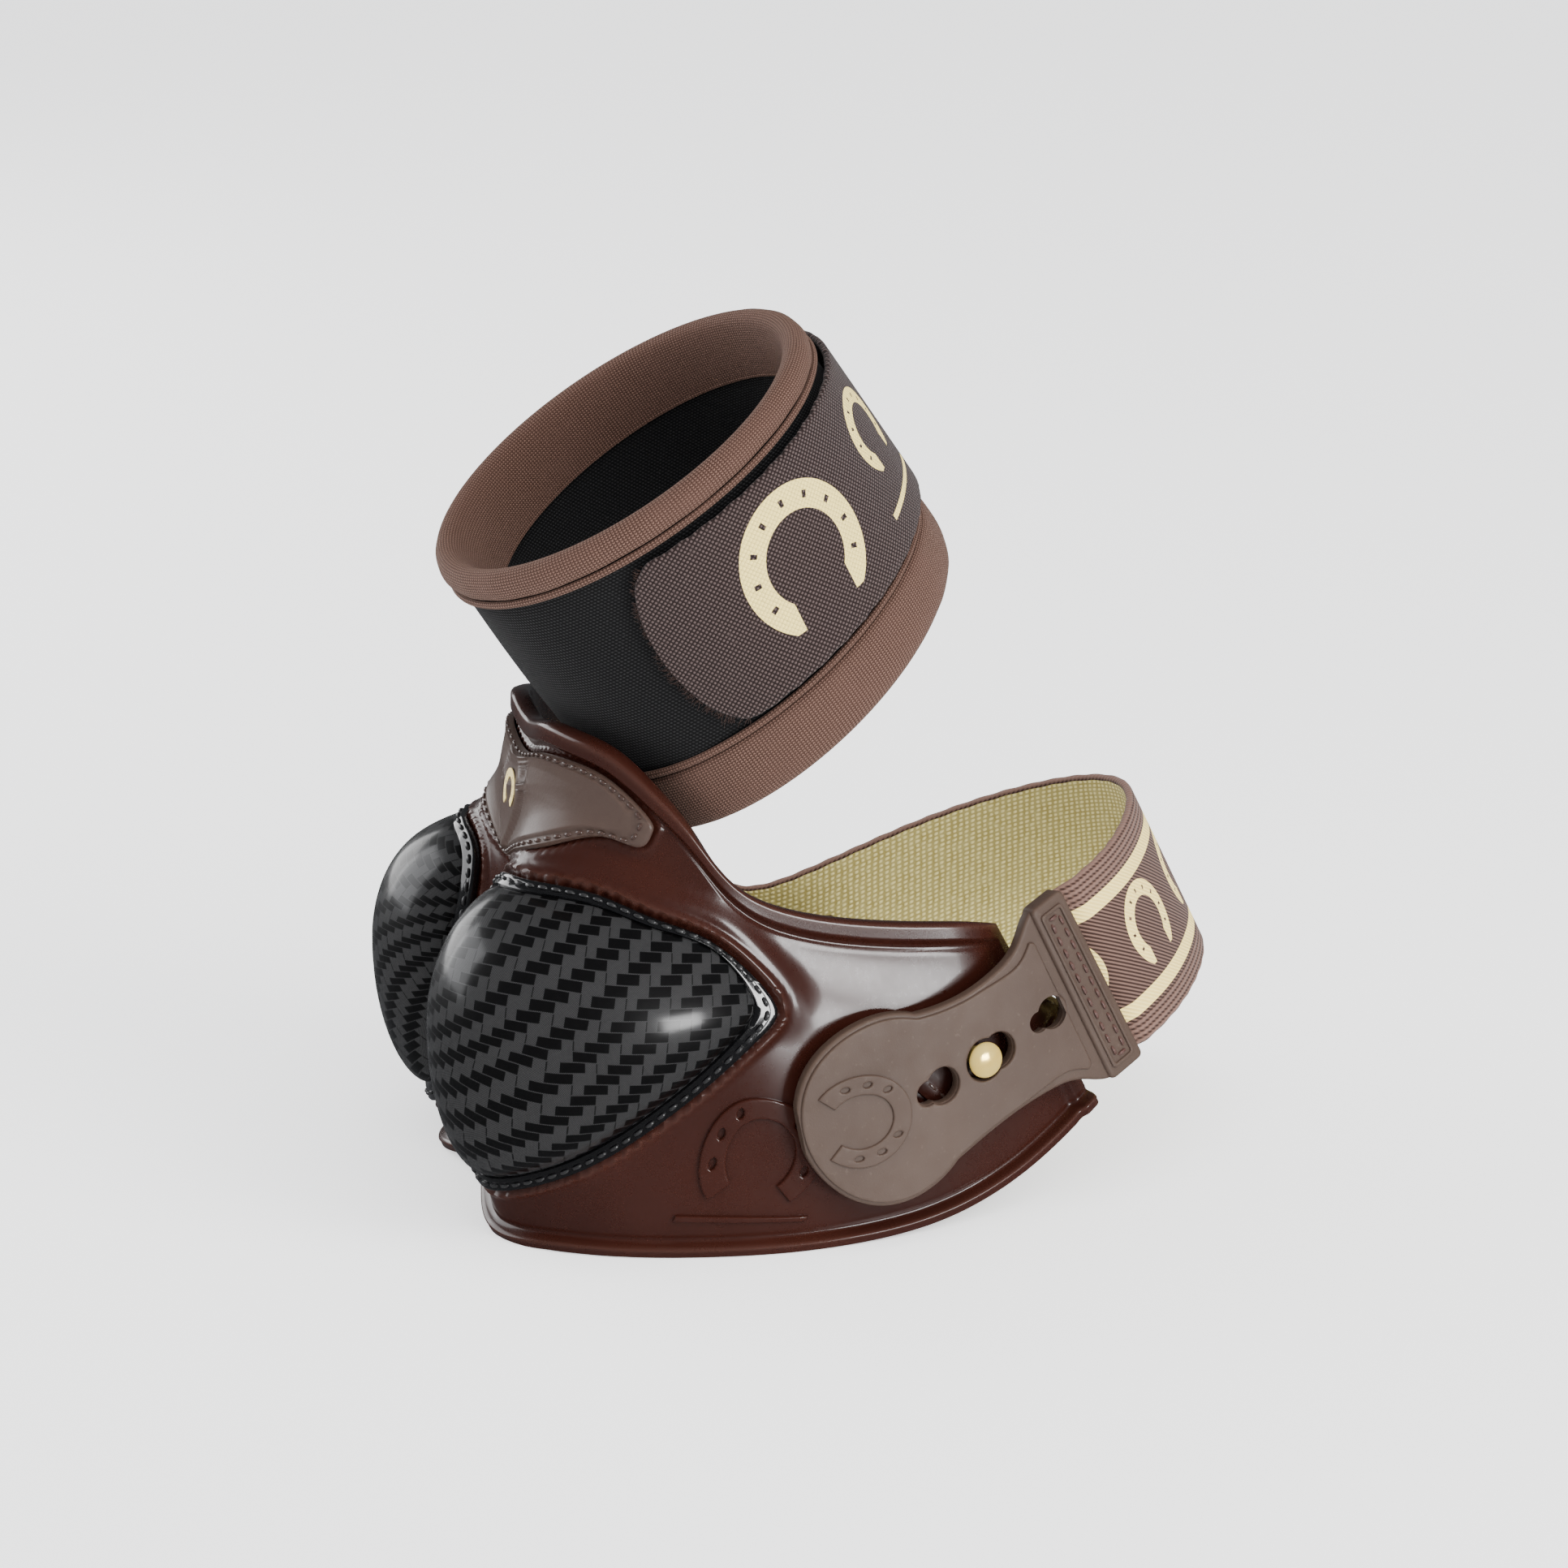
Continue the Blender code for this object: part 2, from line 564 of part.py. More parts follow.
def build_tab():
    curve = bpy.data.curves.new("tab_flat", "CURVE")
    curve.dimensions = "2D"
    curve.fill_mode = "BOTH"
    curve.extrude = TAB_THICK / 2 * MM
    outlines = [tab_outline()]
    for hole in (-1, 0, 1):
        seat = STUD_AT + KEY_PITCH * hole
        radius = STUD_SEAT_R if hole == 0 else KEY_SMALL_R
        outlines.append(keyhole(seat, seat - KEY_STEP, radius))
    for outline in outlines:
        line = curve.splines.new("POLY")
        line.points.add(len(outline) - 1)
        for spot, (x, y) in zip(line.points, outline):
            spot.co = (x * MM, y * MM, 0, 1)
        line.use_cyclic_u = True
    flat = bpy.data.objects.new("tab_flat", curve)
    bpy.context.scene.collection.objects.link(flat)
    bpy.context.view_layer.update()
    mesh = bpy.data.meshes.new_from_object(flat.evaluated_get(bpy.context.evaluated_depsgraph_get()))
    bpy.data.objects.remove(flat)
    shape = bmesh.new()
    shape.from_mesh(mesh)
    bmesh.ops.remove_doubles(shape, verts=shape.verts, dist=1e-6)
    for along in np.arange(7.0, TAB_LENGTH - 3, 7.5):
        whole = shape.verts[:] + shape.edges[:] + shape.faces[:]
        bmesh.ops.bisect_plane(shape, geom=whole, dist=1e-7, plane_co=(along * MM, 0, 0), plane_no=(1, 0, 0))
    flat_points = np.array([v.co for v in shape.verts]) / MM
    bent = on_loop(SEWN_END + flat_points[:, 0], flat_points[:, 1], flat_points[:, 2])
    for vert, point in zip(shape.verts, metres(bent)):
        vert.co = point
    bmesh.ops.recalc_face_normals(shape, faces=shape.faces)
    shape.to_mesh(mesh)
    shape.free()
    finish(bpy.data.objects.new("buckle_tab", mesh), "rubber_brown")

    box = corner_line(((1.8, -20.5), (6.6, -20.5), (6.6, 20.5), (1.8, 20.5)), 5)
    height = TAB_THICK / 2 + GAP + THREAD_R
    seam("tab_thread", on_loop(SEWN_END + box[:, 0], box[:, 1], height))


# ---- the cuff ----

def cuff_ring(share, out, inward=0.0):
    angles = np.arange(CUFF_SIDES) * 360 / CUFF_SIDES
    return np.array([on_cuff(a, share, out - inward) for a in angles])


def build_cuff():
    shares = np.linspace(0.015, 0.985, 6)
    outer = np.stack([cuff_ring(s, 0) for s in shares], axis=1)
    inner = np.stack([cuff_ring(s, -CUFF_THICK) for s in shares], axis=1)
    loft("cuff_sleeve", [outer, inner], "neoprene", round_closed=True)
    for name, edge, inside, sign in (("cuff_top", 1.0, 0.955, 1), ("cuff_bottom", 0.0, 0.185, -1)):
        build_binding(name, edge, inside, sign)


def build_binding(name, edge, inside, sign):
    """The knit tape folded over one edge of the sleeve, and the piping along it."""
    slack = GAP + BINDING_THICK
    past = edge + sign * 0.035
    skin = [(inside, slack), (edge, slack), (past, slack - 1.8), (past, 1.8 - CUFF_THICK - slack),
            (edge, -CUFF_THICK - slack), (inside, -CUFF_THICK - slack)]
    fold = edge + sign * 0.008
    back = [(inside, -CUFF_THICK - GAP), (fold, -CUFF_THICK - GAP), (fold, GAP), (inside, GAP)]
    loop = np.stack([cuff_ring(share, out) for share, out in skin + back], axis=1)
    count, rows = loop.shape[:2]
    faces = [
        (i * rows + j, (i + 1) % count * rows + j, (i + 1) % count * rows + (j + 1) % rows, i * rows + (j + 1) % rows)
        for i in range(count)
        for j in range(rows)
    ]
    mesh_object(name + "_binding", loop.reshape(-1, 3), faces, "knit_brown")
    ridge = inside - sign * 0.022
    seam(name + "_piping", cuff_ring(ridge, GAP + 0.75), 0.75, slot="knit_brown")


def cuff_arc(name, start, end, out, thick, low, high, slot, nose=0.0):
    """A band round the cuff; with a nose, its first end is rounded across the width."""
    steps = round(abs(end - start) / 9) + 1
    rows = 5
    grid = np.zeros((steps, rows, 3))
    for j in range(rows):
        width = j / (rows - 1) * 2 - 1
        first = start + nose * (1 - math.sqrt(max(0, 1 - abs(width) ** 2.2)))
        for i, angle in enumerate(np.linspace(first, end, steps)):
            grid[i, j] = on_cuff(angle, low + (high - low) * j / (rows - 1), out)
    sheet(name, grid, thick, slot)


def build_cuff_strap():
    low, high = 0.245, 0.895
    cuff_arc("cuff_strap", FLAP_FROM, FLAP_TO - 0.4, 3.1, 1.6, low, high, "strap_brown", nose=13)
    hook = (FLAP_FROM + 17, FLAP_FROM + 62, 1.0, 0.7, low + 0.05, high - 0.05)
    cuff_arc("cuff_hook_patch", *hook, "strap_brown")
    cuff_arc("cuff_strap_root", FLAP_TO + 0.4, ROOT_TO, 3.1, 1.6, low, high, "strap_brown")
    edge = [on_cuff(ROOT_TO - 3, share, 4.6) for share in np.linspace(low + 0.04, high - 0.04, 5)]
    back = [on_cuff(ROOT_TO - 12, share, 4.6) for share in np.linspace(high - 0.04, low + 0.04, 5)]
    seam("cuff_strap_thread", edge + back, THREAD_R / 2)


# ---- what moves: its pieces hang on an empty that sits on the hinge's axis ----

def hinge(name, spot, pieces, under=None):
    empty = bpy.data.objects.new(name, None)
    empty.empty_display_size = 0.01
    parts.objects.link(empty)
    empty.location = metres(spot)
    bpy.context.view_layer.update()
    if under is not None:
        empty.parent = under
        empty.matrix_parent_inverse = under.matrix_world.inverted()
    for piece in pieces:
        obj = parts.objects[piece]
        obj.parent = empty
        obj.matrix_parent_inverse = empty.matrix_world.inverted()
    return empty


def build_hinges():
    skin = ELASTIC_THICK / 2 + 0.1
    rear = hinge("strap_sewn_bend", on_loop(ROOT_END, 0, -skin)[0], ["elastic_rear"])
    front = hinge("strap_rear_bend", on_loop(REAR_END, 0, skin)[0], ["elastic_front"], rear)
    tab_face = on_loop(SEWN_END - 0.2, 0, TAB_THICK / 2 + 0.2)[0]
    hinge("tab_release", tab_face, ["buckle_tab", "tab_thread", "elastic_tail"], front)
    cuff = hinge("cuff_tilt", CUFF_HINGE, [
        "cuff_sleeve", "cuff_top_binding", "cuff_top_piping", "cuff_bottom_binding",
        "cuff_bottom_piping", "cuff_strap_root", "cuff_strap_thread",
    ])
    hinge("cuff_strap_peel", on_cuff(FLAP_TO, 0.57, 4.0), ["cuff_strap", "cuff_hook_patch"], cuff)


def main():
    global parts, cutters
    for old in list(bpy.data.objects):
        bpy.data.objects.remove(old)
    parts = bpy.data.collections.new("horse_leg_boot")
    cutters = bpy.data.collections.new("cutters")
    bpy.context.scene.collection.children.link(parts)
    bpy.context.scene.collection.children.link(cutters)
    build_shell()
    for side, sign in (("right", 1), ("left", -1)):
        build_dome(side, sign)
    build_shield()
    build_stud_patch()
    build_stud()
    build_elastic()
    build_tab()
    build_cuff()
    build_cuff_strap()
    build_hinges()


main()
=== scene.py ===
"""Looks of the horse leg boot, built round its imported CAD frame.

Design values are millimetres, as in the CAD; metres() turns them into the frame's coordinates.
The boot's front faces -Y, the side with the brass stud is +X, and the camera stands at +X.
"""

import math

import bmesh
import bpy
import numpy as np
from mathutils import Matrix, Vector


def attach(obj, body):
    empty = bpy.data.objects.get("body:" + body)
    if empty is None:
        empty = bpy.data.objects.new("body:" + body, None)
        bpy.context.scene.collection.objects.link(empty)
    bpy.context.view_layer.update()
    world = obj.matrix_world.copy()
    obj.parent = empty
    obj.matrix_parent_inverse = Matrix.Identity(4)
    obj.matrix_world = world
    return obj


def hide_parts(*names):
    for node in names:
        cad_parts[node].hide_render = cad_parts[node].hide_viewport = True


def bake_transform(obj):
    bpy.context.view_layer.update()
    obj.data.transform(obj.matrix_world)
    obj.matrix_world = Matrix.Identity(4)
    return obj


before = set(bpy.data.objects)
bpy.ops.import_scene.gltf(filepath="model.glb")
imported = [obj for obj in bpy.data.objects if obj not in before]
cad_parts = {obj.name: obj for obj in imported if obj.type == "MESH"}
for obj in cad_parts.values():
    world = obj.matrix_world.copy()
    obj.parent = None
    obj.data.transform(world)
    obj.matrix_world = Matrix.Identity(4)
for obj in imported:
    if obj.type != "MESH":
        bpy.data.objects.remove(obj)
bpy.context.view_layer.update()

MM = 0.001
ORIGIN = np.array((0, 6.35, 0))

# ---- the CAD's driving dimensions, millimetres ----
SHELL_THICK = 3.0
GAP = 0.35
SKIN_GAP = 0.8
LINING_THICK = 2.6
DOME_RISE = 10.5
FLANGE_THICK = 1.5
CUFF_RADIUS = 47.5
CUFF_THICK = 5.0
ELASTIC_WIDTH = 46.0
ELASTIC_THICK = 2.0
TAB_LENGTH = 83.5
TAB_THICK = 3.2
TAB_END_R = 22.5
TAB_NECK = 24.0
STUD_HEAD_R = 4.2
STUD_SEAT_R = 4.7
KEY_BIG_R = 4.1
KEY_SMALL_R = 2.7
KEY_STEP = 4.0
KEY_PITCH = 15.8
STUD_AT = 35.5
SEWN_END = 180.6
FLAP_FROM = -27.0
ROOT_TO = 190.0

ROW_SHARE = np.array((0, 0.12, 0.30, 0.47, 0.62, 0.73, 0.85, 1.0))
CENTRE = ((0, -73, 4.5), (0, -60, 115), (2.6, 4.4, 4.1, 2.4, 1.6, 0.4))
FRONT = (
    ((13, -75, 3), (13, -60, 118), (3.8, 8.0, 9.1, 7.0, 2.6, -0.4)),
    ((27, -76, 0), (24, -57, 118.5), (5.3, 11.7, 15.4, 14.8, 6.0, -1.6)),
    ((39, -67, 0), (33, -50, 116), (3.0, 9.0, 11.0, 11.0, 4.0, -1.5)),
    ((48, -50, 0), (40, -42, 108.5), (1.8, 4.3, 6.3, 6.0, 3.0, 0.0)),
    ((54, -28, 0), (44.5, -34, 98), (1.5, 2.7, 3.2, 2.6, 0.8, -0.4)),
)
STUD_WING = (
    ((56, -6, 0), (46, -21, 83), (1.2, 2.5, 2.7, 2.2, 1.3, 0.0)),
    ((54, 20, 2), (45, 6, 74), (1.0, 2.0, 2.0, 2.0, 1.0, 0.0)),
    ((48, 44, 9.6), (43, 29, 70.5), (0.5, 1.0, 1.5, 1.5, 1.0, 0.5)),
    ((40, 64, 20.6), (38.5, 39, 67.6), (0.0, 0.5, 0.8, 0.8, 0.5, 0.0)),
)
SEWN_WING = (
    ((56, -7, 0), (46, -14, 71), (1.2, 2.5, 2.7, 2.2, 1.3, 0.0)),
    ((54.5, 16, 1.5), (48.5, 7, 45), (1.0, 2.0, 2.0, 2.0, 1.0, 0.0)),
    ((50, 36, 8), (47, 27, 40), (0.5, 1.0, 1.0, 1.0, 0.5, 0.0)),
)
SEWN_SIDE_DROP = (1.5, 3.5, 4.5, 4.5, 5.0)
DOME_OUTLINE = (
    (0.95, 4.40), (2.10, 4.92), (4.20, 5.15), (5.45, 5.36), (5.92, 4.80),
    (5.60, 3.70), (4.10, 1.95), (2.60, 1.08), (1.50, 0.95), (0.85, 1.80), (0.72, 3.20),
)
DOME_MIDDLE = (3.0, 3.2)
DOME_FALL = 0.75
DOME_FALL_ROWS = (2.9, 5.2)
SHIELD_OUTLINE = (
    (0.0, 4.75), (1.1, 5.02), (2.2, 5.52), (3.1, 5.88), (3.75, 6.08), (3.98, 6.40),
    (3.80, 6.60), (2.50, 6.66), (1.2, 6.60), (0.0, 6.54),
)
SHIELD_MIDDLE = (0.0, 6.0)
STUD_PATCH = ((6.75, 3.8), (8.70, 5.4), (9.35, 3.1), (7.5, 1.5))
LOOP = (
    (-58.4, 10, 24.5), (-56.6, 26, 26.2), (-49, 58, 40.6), (-30, 86, 55.2), (-2, 96, 63.1),
    (26, 83, 60.5), (41.8, 64.5, 55.1), (51.0, 39, 44.0), (57.0, 8.9, 33.0), (58.9, -14.4, 30.7),
)
LOOP_SLOPE = (15, 24, 26, 26, 26, 26, 26, 22, 12, 10)
LOOP_LEAN = (0, 0, 0, 0, 0, 0, 0.03, 0.06, 0.09, 0.09)
CUFF_TOP = (0, -38.8, 176.6)
CUFF_BOTTOM = (0, -1.1, 121.2)
CUFF_TOP_TILT = 33.0
CUFF_BOTTOM_TILT = 40.3


def metres(points):
    return (np.asarray(points, float) - ORIGIN) * MM


# ---- the CAD's surfaces ----

def spline_weights(count, at):
    """Rows of weights that make a natural cubic through `count` evenly numbered points."""
    at = np.atleast_1d(np.asarray(at, float))
    spread = np.eye(count)
    pull = np.zeros((count, count))
    for i in range(1, count - 1):
        spread[i, i - 1:i + 2] = (1, 4, 1)
        pull[i, i - 1:i + 2] = (6, -12, 6)
    bend = np.linalg.solve(spread, pull)
    low = np.clip(np.floor(at).astype(int), 0, count - 2)
    after = (at - low)[:, None]
    before = 1 - after
    straight = before * np.eye(count)[low] + after * np.eye(count)[low + 1]
    return straight + (before**3 - before) / 6 * bend[low] + (after**3 - after) / 6 * bend[low + 1]


def shell_net():
    dropped = [
        (foot, (head[0], head[1], head[2] - drop), bulge)
        for (foot, head, bulge), drop in zip(FRONT, SEWN_SIDE_DROP)
    ]
    sewn = [
        ((-foot[0], *foot[1:]), (-head[0], *head[1:]), bulge)
        for foot, head, bulge in reversed(dropped + list(SEWN_WING))
    ]
    stations = sewn + [CENTRE] + list(FRONT) + list(STUD_WING)
    foot = np.array([s[0] for s in stations], float)
    head = np.array([s[1] for s in stations], float)
    bulge = np.array([(0, *s[2], 0) for s in stations], float)
    along = np.gradient((foot + head)[:, :2] / 2, axis=0)
    outward = np.stack([along[:, 1], -along[:, 0], np.zeros(len(along))], axis=1)
    outward /= np.linalg.norm(outward, axis=1)[:, None]
    rise = ROW_SHARE[None, :, None]
    return foot[:, None] * (1 - rise) + head[:, None] * rise + bulge[:, :, None] * outward[:, None]


NET = shell_net()
SEWN_COUNT = len(FRONT) + len(SEWN_WING)
STUD_COUNT = len(FRONT) + len(STUD_WING)
TOP_ROW = len(ROW_SHARE) - 1


def shell_surface(across, up):
    weigh_across = spline_weights(NET.shape[0], np.asarray(across, float) + SEWN_COUNT)
    weigh_up = spline_weights(NET.shape[1], up)
    rows = np.einsum("pj,ijk->pik", weigh_up, NET)
    return np.einsum("pi,pik->pk", weigh_across, rows)


def unit(vectors):
    return vectors / np.linalg.norm(vectors, axis=-1, keepdims=True)


def shell_normal(across, up):
    across = np.asarray(across, float)
    up = np.asarray(up, float)
    step = 0.01
    side = shell_surface(across + step, up) - shell_surface(across - step, up)
    rise = shell_surface(across, up + step) - shell_surface(across, up - step)
    return unit(np.cross(side, rise))


def on_shell(across, up, out):
    return shell_surface(across, up) + shell_normal(across, up) * np.reshape(out, (-1, 1))


def loop_surface(station, across):
    centres = np.array(LOOP, float)
    slope = np.radians(LOOP_SLOPE)
    width = np.stack([np.array(LOOP_LEAN), np.sin(slope), -np.cos(slope)], axis=1)
    weigh = spline_weights(len(LOOP), station)
    return weigh @ centres + unit(weigh @ width) * np.reshape(across, (-1, 1))


def lengths_of(line):
    """Millimetres along a line, at each of its points."""
    return np.concatenate([[0], np.cumsum(np.linalg.norm(np.diff(line, axis=0), axis=1))])


LOOP_STATIONS = np.linspace(0, len(LOOP) - 1, 721)
LOOP_LINE = loop_surface(LOOP_STATIONS, np.zeros(721))
LOOP_LENGTHS = lengths_of(LOOP_LINE)


def on_loop(distance, across, out=0.0):
    """Points on the strap: along it from its sewn end, across its width, and outside its middle."""
    distance = np.atleast_1d(np.asarray(distance, float))
    across = np.broadcast_to(np.asarray(across, float), distance.shape)
    here = np.interp(distance, LOOP_LENGTHS, LOOP_STATIONS)
    step = 0.02
    along = loop_surface(here + step, across) - loop_surface(here - step, across)
    width = loop_surface(here, across + 1) - loop_surface(here, across - 1)
    return loop_surface(here, across) + unit(np.cross(along, width)) * np.reshape(out, (-1, 1))


def on_cuff(degrees, share, out=0.0):
    """Points round the cuff, `out` millimetres outside the neoprene."""
    degrees, share, out = np.broadcast_arrays(np.atleast_1d(degrees).astype(float), share, out)
    tilt = np.radians(CUFF_BOTTOM_TILT + (CUFF_TOP_TILT - CUFF_BOTTOM_TILT) * share)
    centre = np.array(CUFF_BOTTOM) + (np.array(CUFF_TOP) - np.array(CUFF_BOTTOM)) * share[:, None]
    angle = np.radians(degrees)
    back = np.stack([np.zeros_like(tilt), np.cos(tilt), np.sin(tilt)], axis=1)
    spoke = np.cos(angle)[:, None] * np.array((1.0, 0, 0)) + np.sin(angle)[:, None] * back
    return centre + (CUFF_RADIUS + out)[:, None] * spoke


CUFF_MM = math.radians(1) * CUFF_RADIUS        # millimetres round the cuff to a degree
CUFF_TALL = 67.0                               # millimetres from share 0 to share 1


def smooth_outline(corners, count):
    corners = np.array(corners, float)
    around = np.concatenate([corners[-3:], corners, corners[:4]])
    at = 3 + np.linspace(0, len(corners), count, endpoint=False)
    return spline_weights(len(around), at) @ around


def shrunk(outline, middle, share):
    middle = np.array(middle, float)
    return middle + (outline - middle) * share


def corner_line(corners, per_side):
    corners = np.array(corners, float)
    ends = np.roll(corners, -1, axis=0)
    shares = np.arange(per_side)[:, None] / per_side
    return np.concatenate([a + (b - a) * shares for a, b in zip(corners, ends)])


def ease(value, low, high):
    t = np.clip((value - low) / (high - low), 0, 1)
    return t * t * (3 - 2 * t)


def grid(across, up):
    """Both coordinates of every crossing of two rows of values."""
    return [g.ravel() for g in np.meshgrid(across, up, indexing="ij")]


# ---- materials ----

HORSESHOE_LONG = 1.12                          # a horseshoe's length to its width
PRINT_ROW = 2.7                                # millimetres, as all patterns on flat coordinates
PRINT_PERIOD = 10.6
MOTIF_PITCH = 30.0


def arithmetic(operation, swapped=False):
    def apply(self, other):
        return self.paint.calc(operation, *((other, self) if swapped else (self, other)))

    return apply


class Value:
    """A shader value that takes Python's signs for the math nodes; | is the greater of two."""

    def __init__(self, paint, socket):
        self.paint = paint
        self.socket = socket

    __add__ = arithmetic("ADD")
    __sub__ = arithmetic("SUBTRACT")
    __rsub__ = arithmetic("SUBTRACT", swapped=True)
    __mul__ = arithmetic("MULTIPLY")
    __truediv__ = arithmetic("DIVIDE")
    __lt__ = arithmetic("LESS_THAN")
    __gt__ = arithmetic("GREATER_THAN")
    __or__ = arithmetic("MAXIMUM")

    def __abs__(self):
        return self.paint.calc("ABSOLUTE", self)


class Paint:
    """A procedural material on a Principled shader, and short names for its nodes."""

    def __init__(self, name, rough, specular=0.5, coat=(), sheen=(), **sockets):
        self.mat = bpy.data.materials.new(name)
        self.mat.use_nodes = True
        self.tree = self.mat.node_tree
        self.shader = self.tree.nodes["Principled BSDF"]
        self.set("Roughness", rough)
        self.set("Specular IOR Level", specular)
        for layer, values in (("Coat", coat), ("Sheen", sheen)):
            for part, value in zip(("Weight", "Roughness"), values):
                self.set(f"{layer} {part}", value)
        for socket, value in sockets.items():
            self.set(socket.replace("_", " "), value)

    def give(self, socket, value):
        if isinstance(value, Value):
            self.tree.links.new(value.socket, socket)
        elif socket.type == "RGBA":
            socket.default_value = (*value, 1)
        else:
            socket.default_value = value

    def set(self, socket, value):
        self.give(self.shader.inputs[socket], value)

    def node(self, kind, *inputs, **settings):
        """A new node with its own settings, and its inputs in order; None leaves one alone."""
        node = self.tree.nodes.new("ShaderNode" + kind)
        for key, value in settings.items():
            setattr(node, key, value)
        for socket, value in zip(node.inputs, inputs):
            if value is not None:
                self.give(socket, value)
        return [Value(self, socket) for socket in node.outputs]

    def calc(self, operation, *inputs):
        return self.node("Math", *inputs, operation=operation)[0]

    def fract(self, value):
        return self.calc("FRACT", value)

    def span(self, value, low, high, to_low=0.0, to_high=1.0):
        return self.node("MapRange", value, low, high, to_low, to_high)[0]

    def mix(self, share, a, b):
        return self.node("Mix", share, *[None] * 5, a, b, data_type="RGBA")[2]

    def colour(self, share, a, b):
        self.set("Base Color", self.mix(share, a, b))

    def noise(self, scale, detail=2.0, rough=0.5, at=None):
        """Noise over the object, or over the place `at`."""
        at = at or self.node("TexCoord")[3]
        return self.node("TexNoise", at, None, scale, detail, rough)[0]

    def flat(self):
        """The piece's own two coordinates laid flat, in millimetres."""
        return self.node("SeparateXYZ", self.node("UVMap", uv_map="flat")[0])[:2]

    def flat_noise(self, x_scale, y_scale, detail=2.0):
        x, y = self.flat()
        return self.noise(1.0, detail, at=self.node("CombineXYZ", x * x_scale, y * y_scale)[0])

    def point(self, name):
        return self.node("Attribute", attribute_name=name)[2]

    def wave(self, x, pitch, shift=0.0):
        """A sine of 0 to 1 with that pitch."""
        turn = self.calc("MULTIPLY_ADD", x, 2 * math.pi / pitch, shift)
        return self.calc("MULTIPLY_ADD", self.calc("SINE", turn), 0.5, 0.5)

    def bump(self, height, distance, under=None, strength=1.0):
        node = self.tree.nodes.new("ShaderNodeBump")
        given = {"Height": height, "Distance": distance * MM, "Strength": strength, "Normal": under}
        for socket, value in given.items():
            if value is not None:
                self.give(node.inputs[socket], value)
        bumped = Value(self, node.outputs[0])
        self.set("Normal", bumped)
        return bumped

    def horseshoe(self, x, y, width, turn=0.0):
        """1 inside a printed horseshoe that is `width` wide and opens towards -y, else 0."""
        if turn:
            c, s = math.cos(turn), math.sin(turn)
            x, y = x * c + y * s, x * -s + y * c
        nx = x / (width / 2)
        ny = y / (width / 2 * HORSESHOE_LONG)
        far = self.calc("SQRT", nx * nx + ny * ny)
        ring = abs(far - 0.81) < 0.19
        heel = (ny < 0.0) * (abs(nx) < 0.46)
        nails = (self.wave(self.calc("ARCTAN2", nx, ny), 0.5, math.pi / 2) > 0.93) * (ny > -0.5)
        return ring * (1.0 - heel) * (ny > -0.80) * (1.0 - nails * (abs(far - 0.80) < 0.05))


def moulded_brown():
    p = Paint("moulded_brown", 0.3, 0.4, coat=(0.35, 0.12))
    cloud = p.span(p.noise(22, 3), 0.35, 0.7)
    base = p.mix(cloud, (0.0225, 0.0056, 0.0034), (0.032, 0.0084, 0.0052))
    p.colour(p.point("crest") * 0.3, base, (0.072, 0.032, 0.023))
    p.set("Roughness", p.span(p.noise(650, 4, 0.7) + p.noise(60), 0.7, 1.3, 0.24, 0.34))
    p.bump(p.noise(90, 1), 0.10, p.bump(p.noise(1100, 1), 0.012, strength=0.5), 0.25)
    return p.mat


def patch_brown():
    p = Paint("patch_brown", 0.4, 0.35, coat=(0.15, 0.25))
    p.colour(p.noise(60, 3), (0.046, 0.028, 0.022), (0.068, 0.044, 0.035))
    p.bump(p.noise(1300, 3), 0.05, strength=0.7)
    return p.mat


def tab_rubber():
    p = Paint("tab_rubber", 0.5, 0.35)
    cloud = p.span(p.noise(35, 3), 0.3, 0.75)
    tone = p.mix(cloud, (0.055, 0.0350, 0.0258), (0.070, 0.0460, 0.0345))
    p.colour(p.span(p.noise(700, 3, 0.7), 0.62, 0.72) * 0.3, tone, (0.12, 0.088, 0.068))
    p.set("Roughness", p.span(p.noise(220, 3), 0.3, 0.7, 0.42, 0.58))
    p.bump(p.noise(320), 0.05, p.bump(p.noise(2400), 0.03, strength=0.6), 0.4)
    return p.mat


def dome_print():
    p = Paint("dome_print", 0.45, 0.15, coat=(0.8, 0.17), Coat_IOR=1.45)
    x, y = p.flat()
    rows = y / PRINT_ROW
    row = p.calc("FLOOR", rows)
    phase = p.fract(row * -0.25 + x / PRINT_PERIOD)
    full = abs(p.fract(rows) - 0.5) < 0.45
    weft = (abs(phase - 0.26) < 0.255) * full
    tick = (abs(phase - 0.765) < 0.014) * full * (p.fract(row * 0.5) > 0.25)
    threads = p.wave(x + y, 0.42) * p.wave(x - y, 0.42)
    uneven = p.span(p.flat_noise(0.9, 2.6, 3), 0.35, 0.75, 0, 0.35)
    warp = p.mix(p.span(threads, 0.1, 0.6), (0.009, 0.009, 0.0094), (0.044, 0.044, 0.045))
    warp = p.mix(uneven, warp, (0.026, 0.026, 0.0265))
    dark = p.mix(p.span(threads, 0.1, 0.7), (0.0008, 0.0008, 0.0009), (0.0030, 0.0030, 0.0032))
    p.colour(weft | tick * 0.85, warp, dark)
    p.set("Coat Normal", p.bump(p.noise(30), 0.12, strength=0.25))
    p.bump(threads, 0.02, strength=0.35)
    return p.mat


def gloss_black():
    p = Paint("gloss_black", 0.16, 0.4, coat=(0.8, 0.05), Base_Color=(0.003, 0.003, 0.0034))
    p.set("Roughness", p.span(p.noise(260, 3), 0.3, 0.7, 0.10, 0.26))
    p.bump(p.noise(240, 3), 0.16, strength=0.5)
    return p.mat


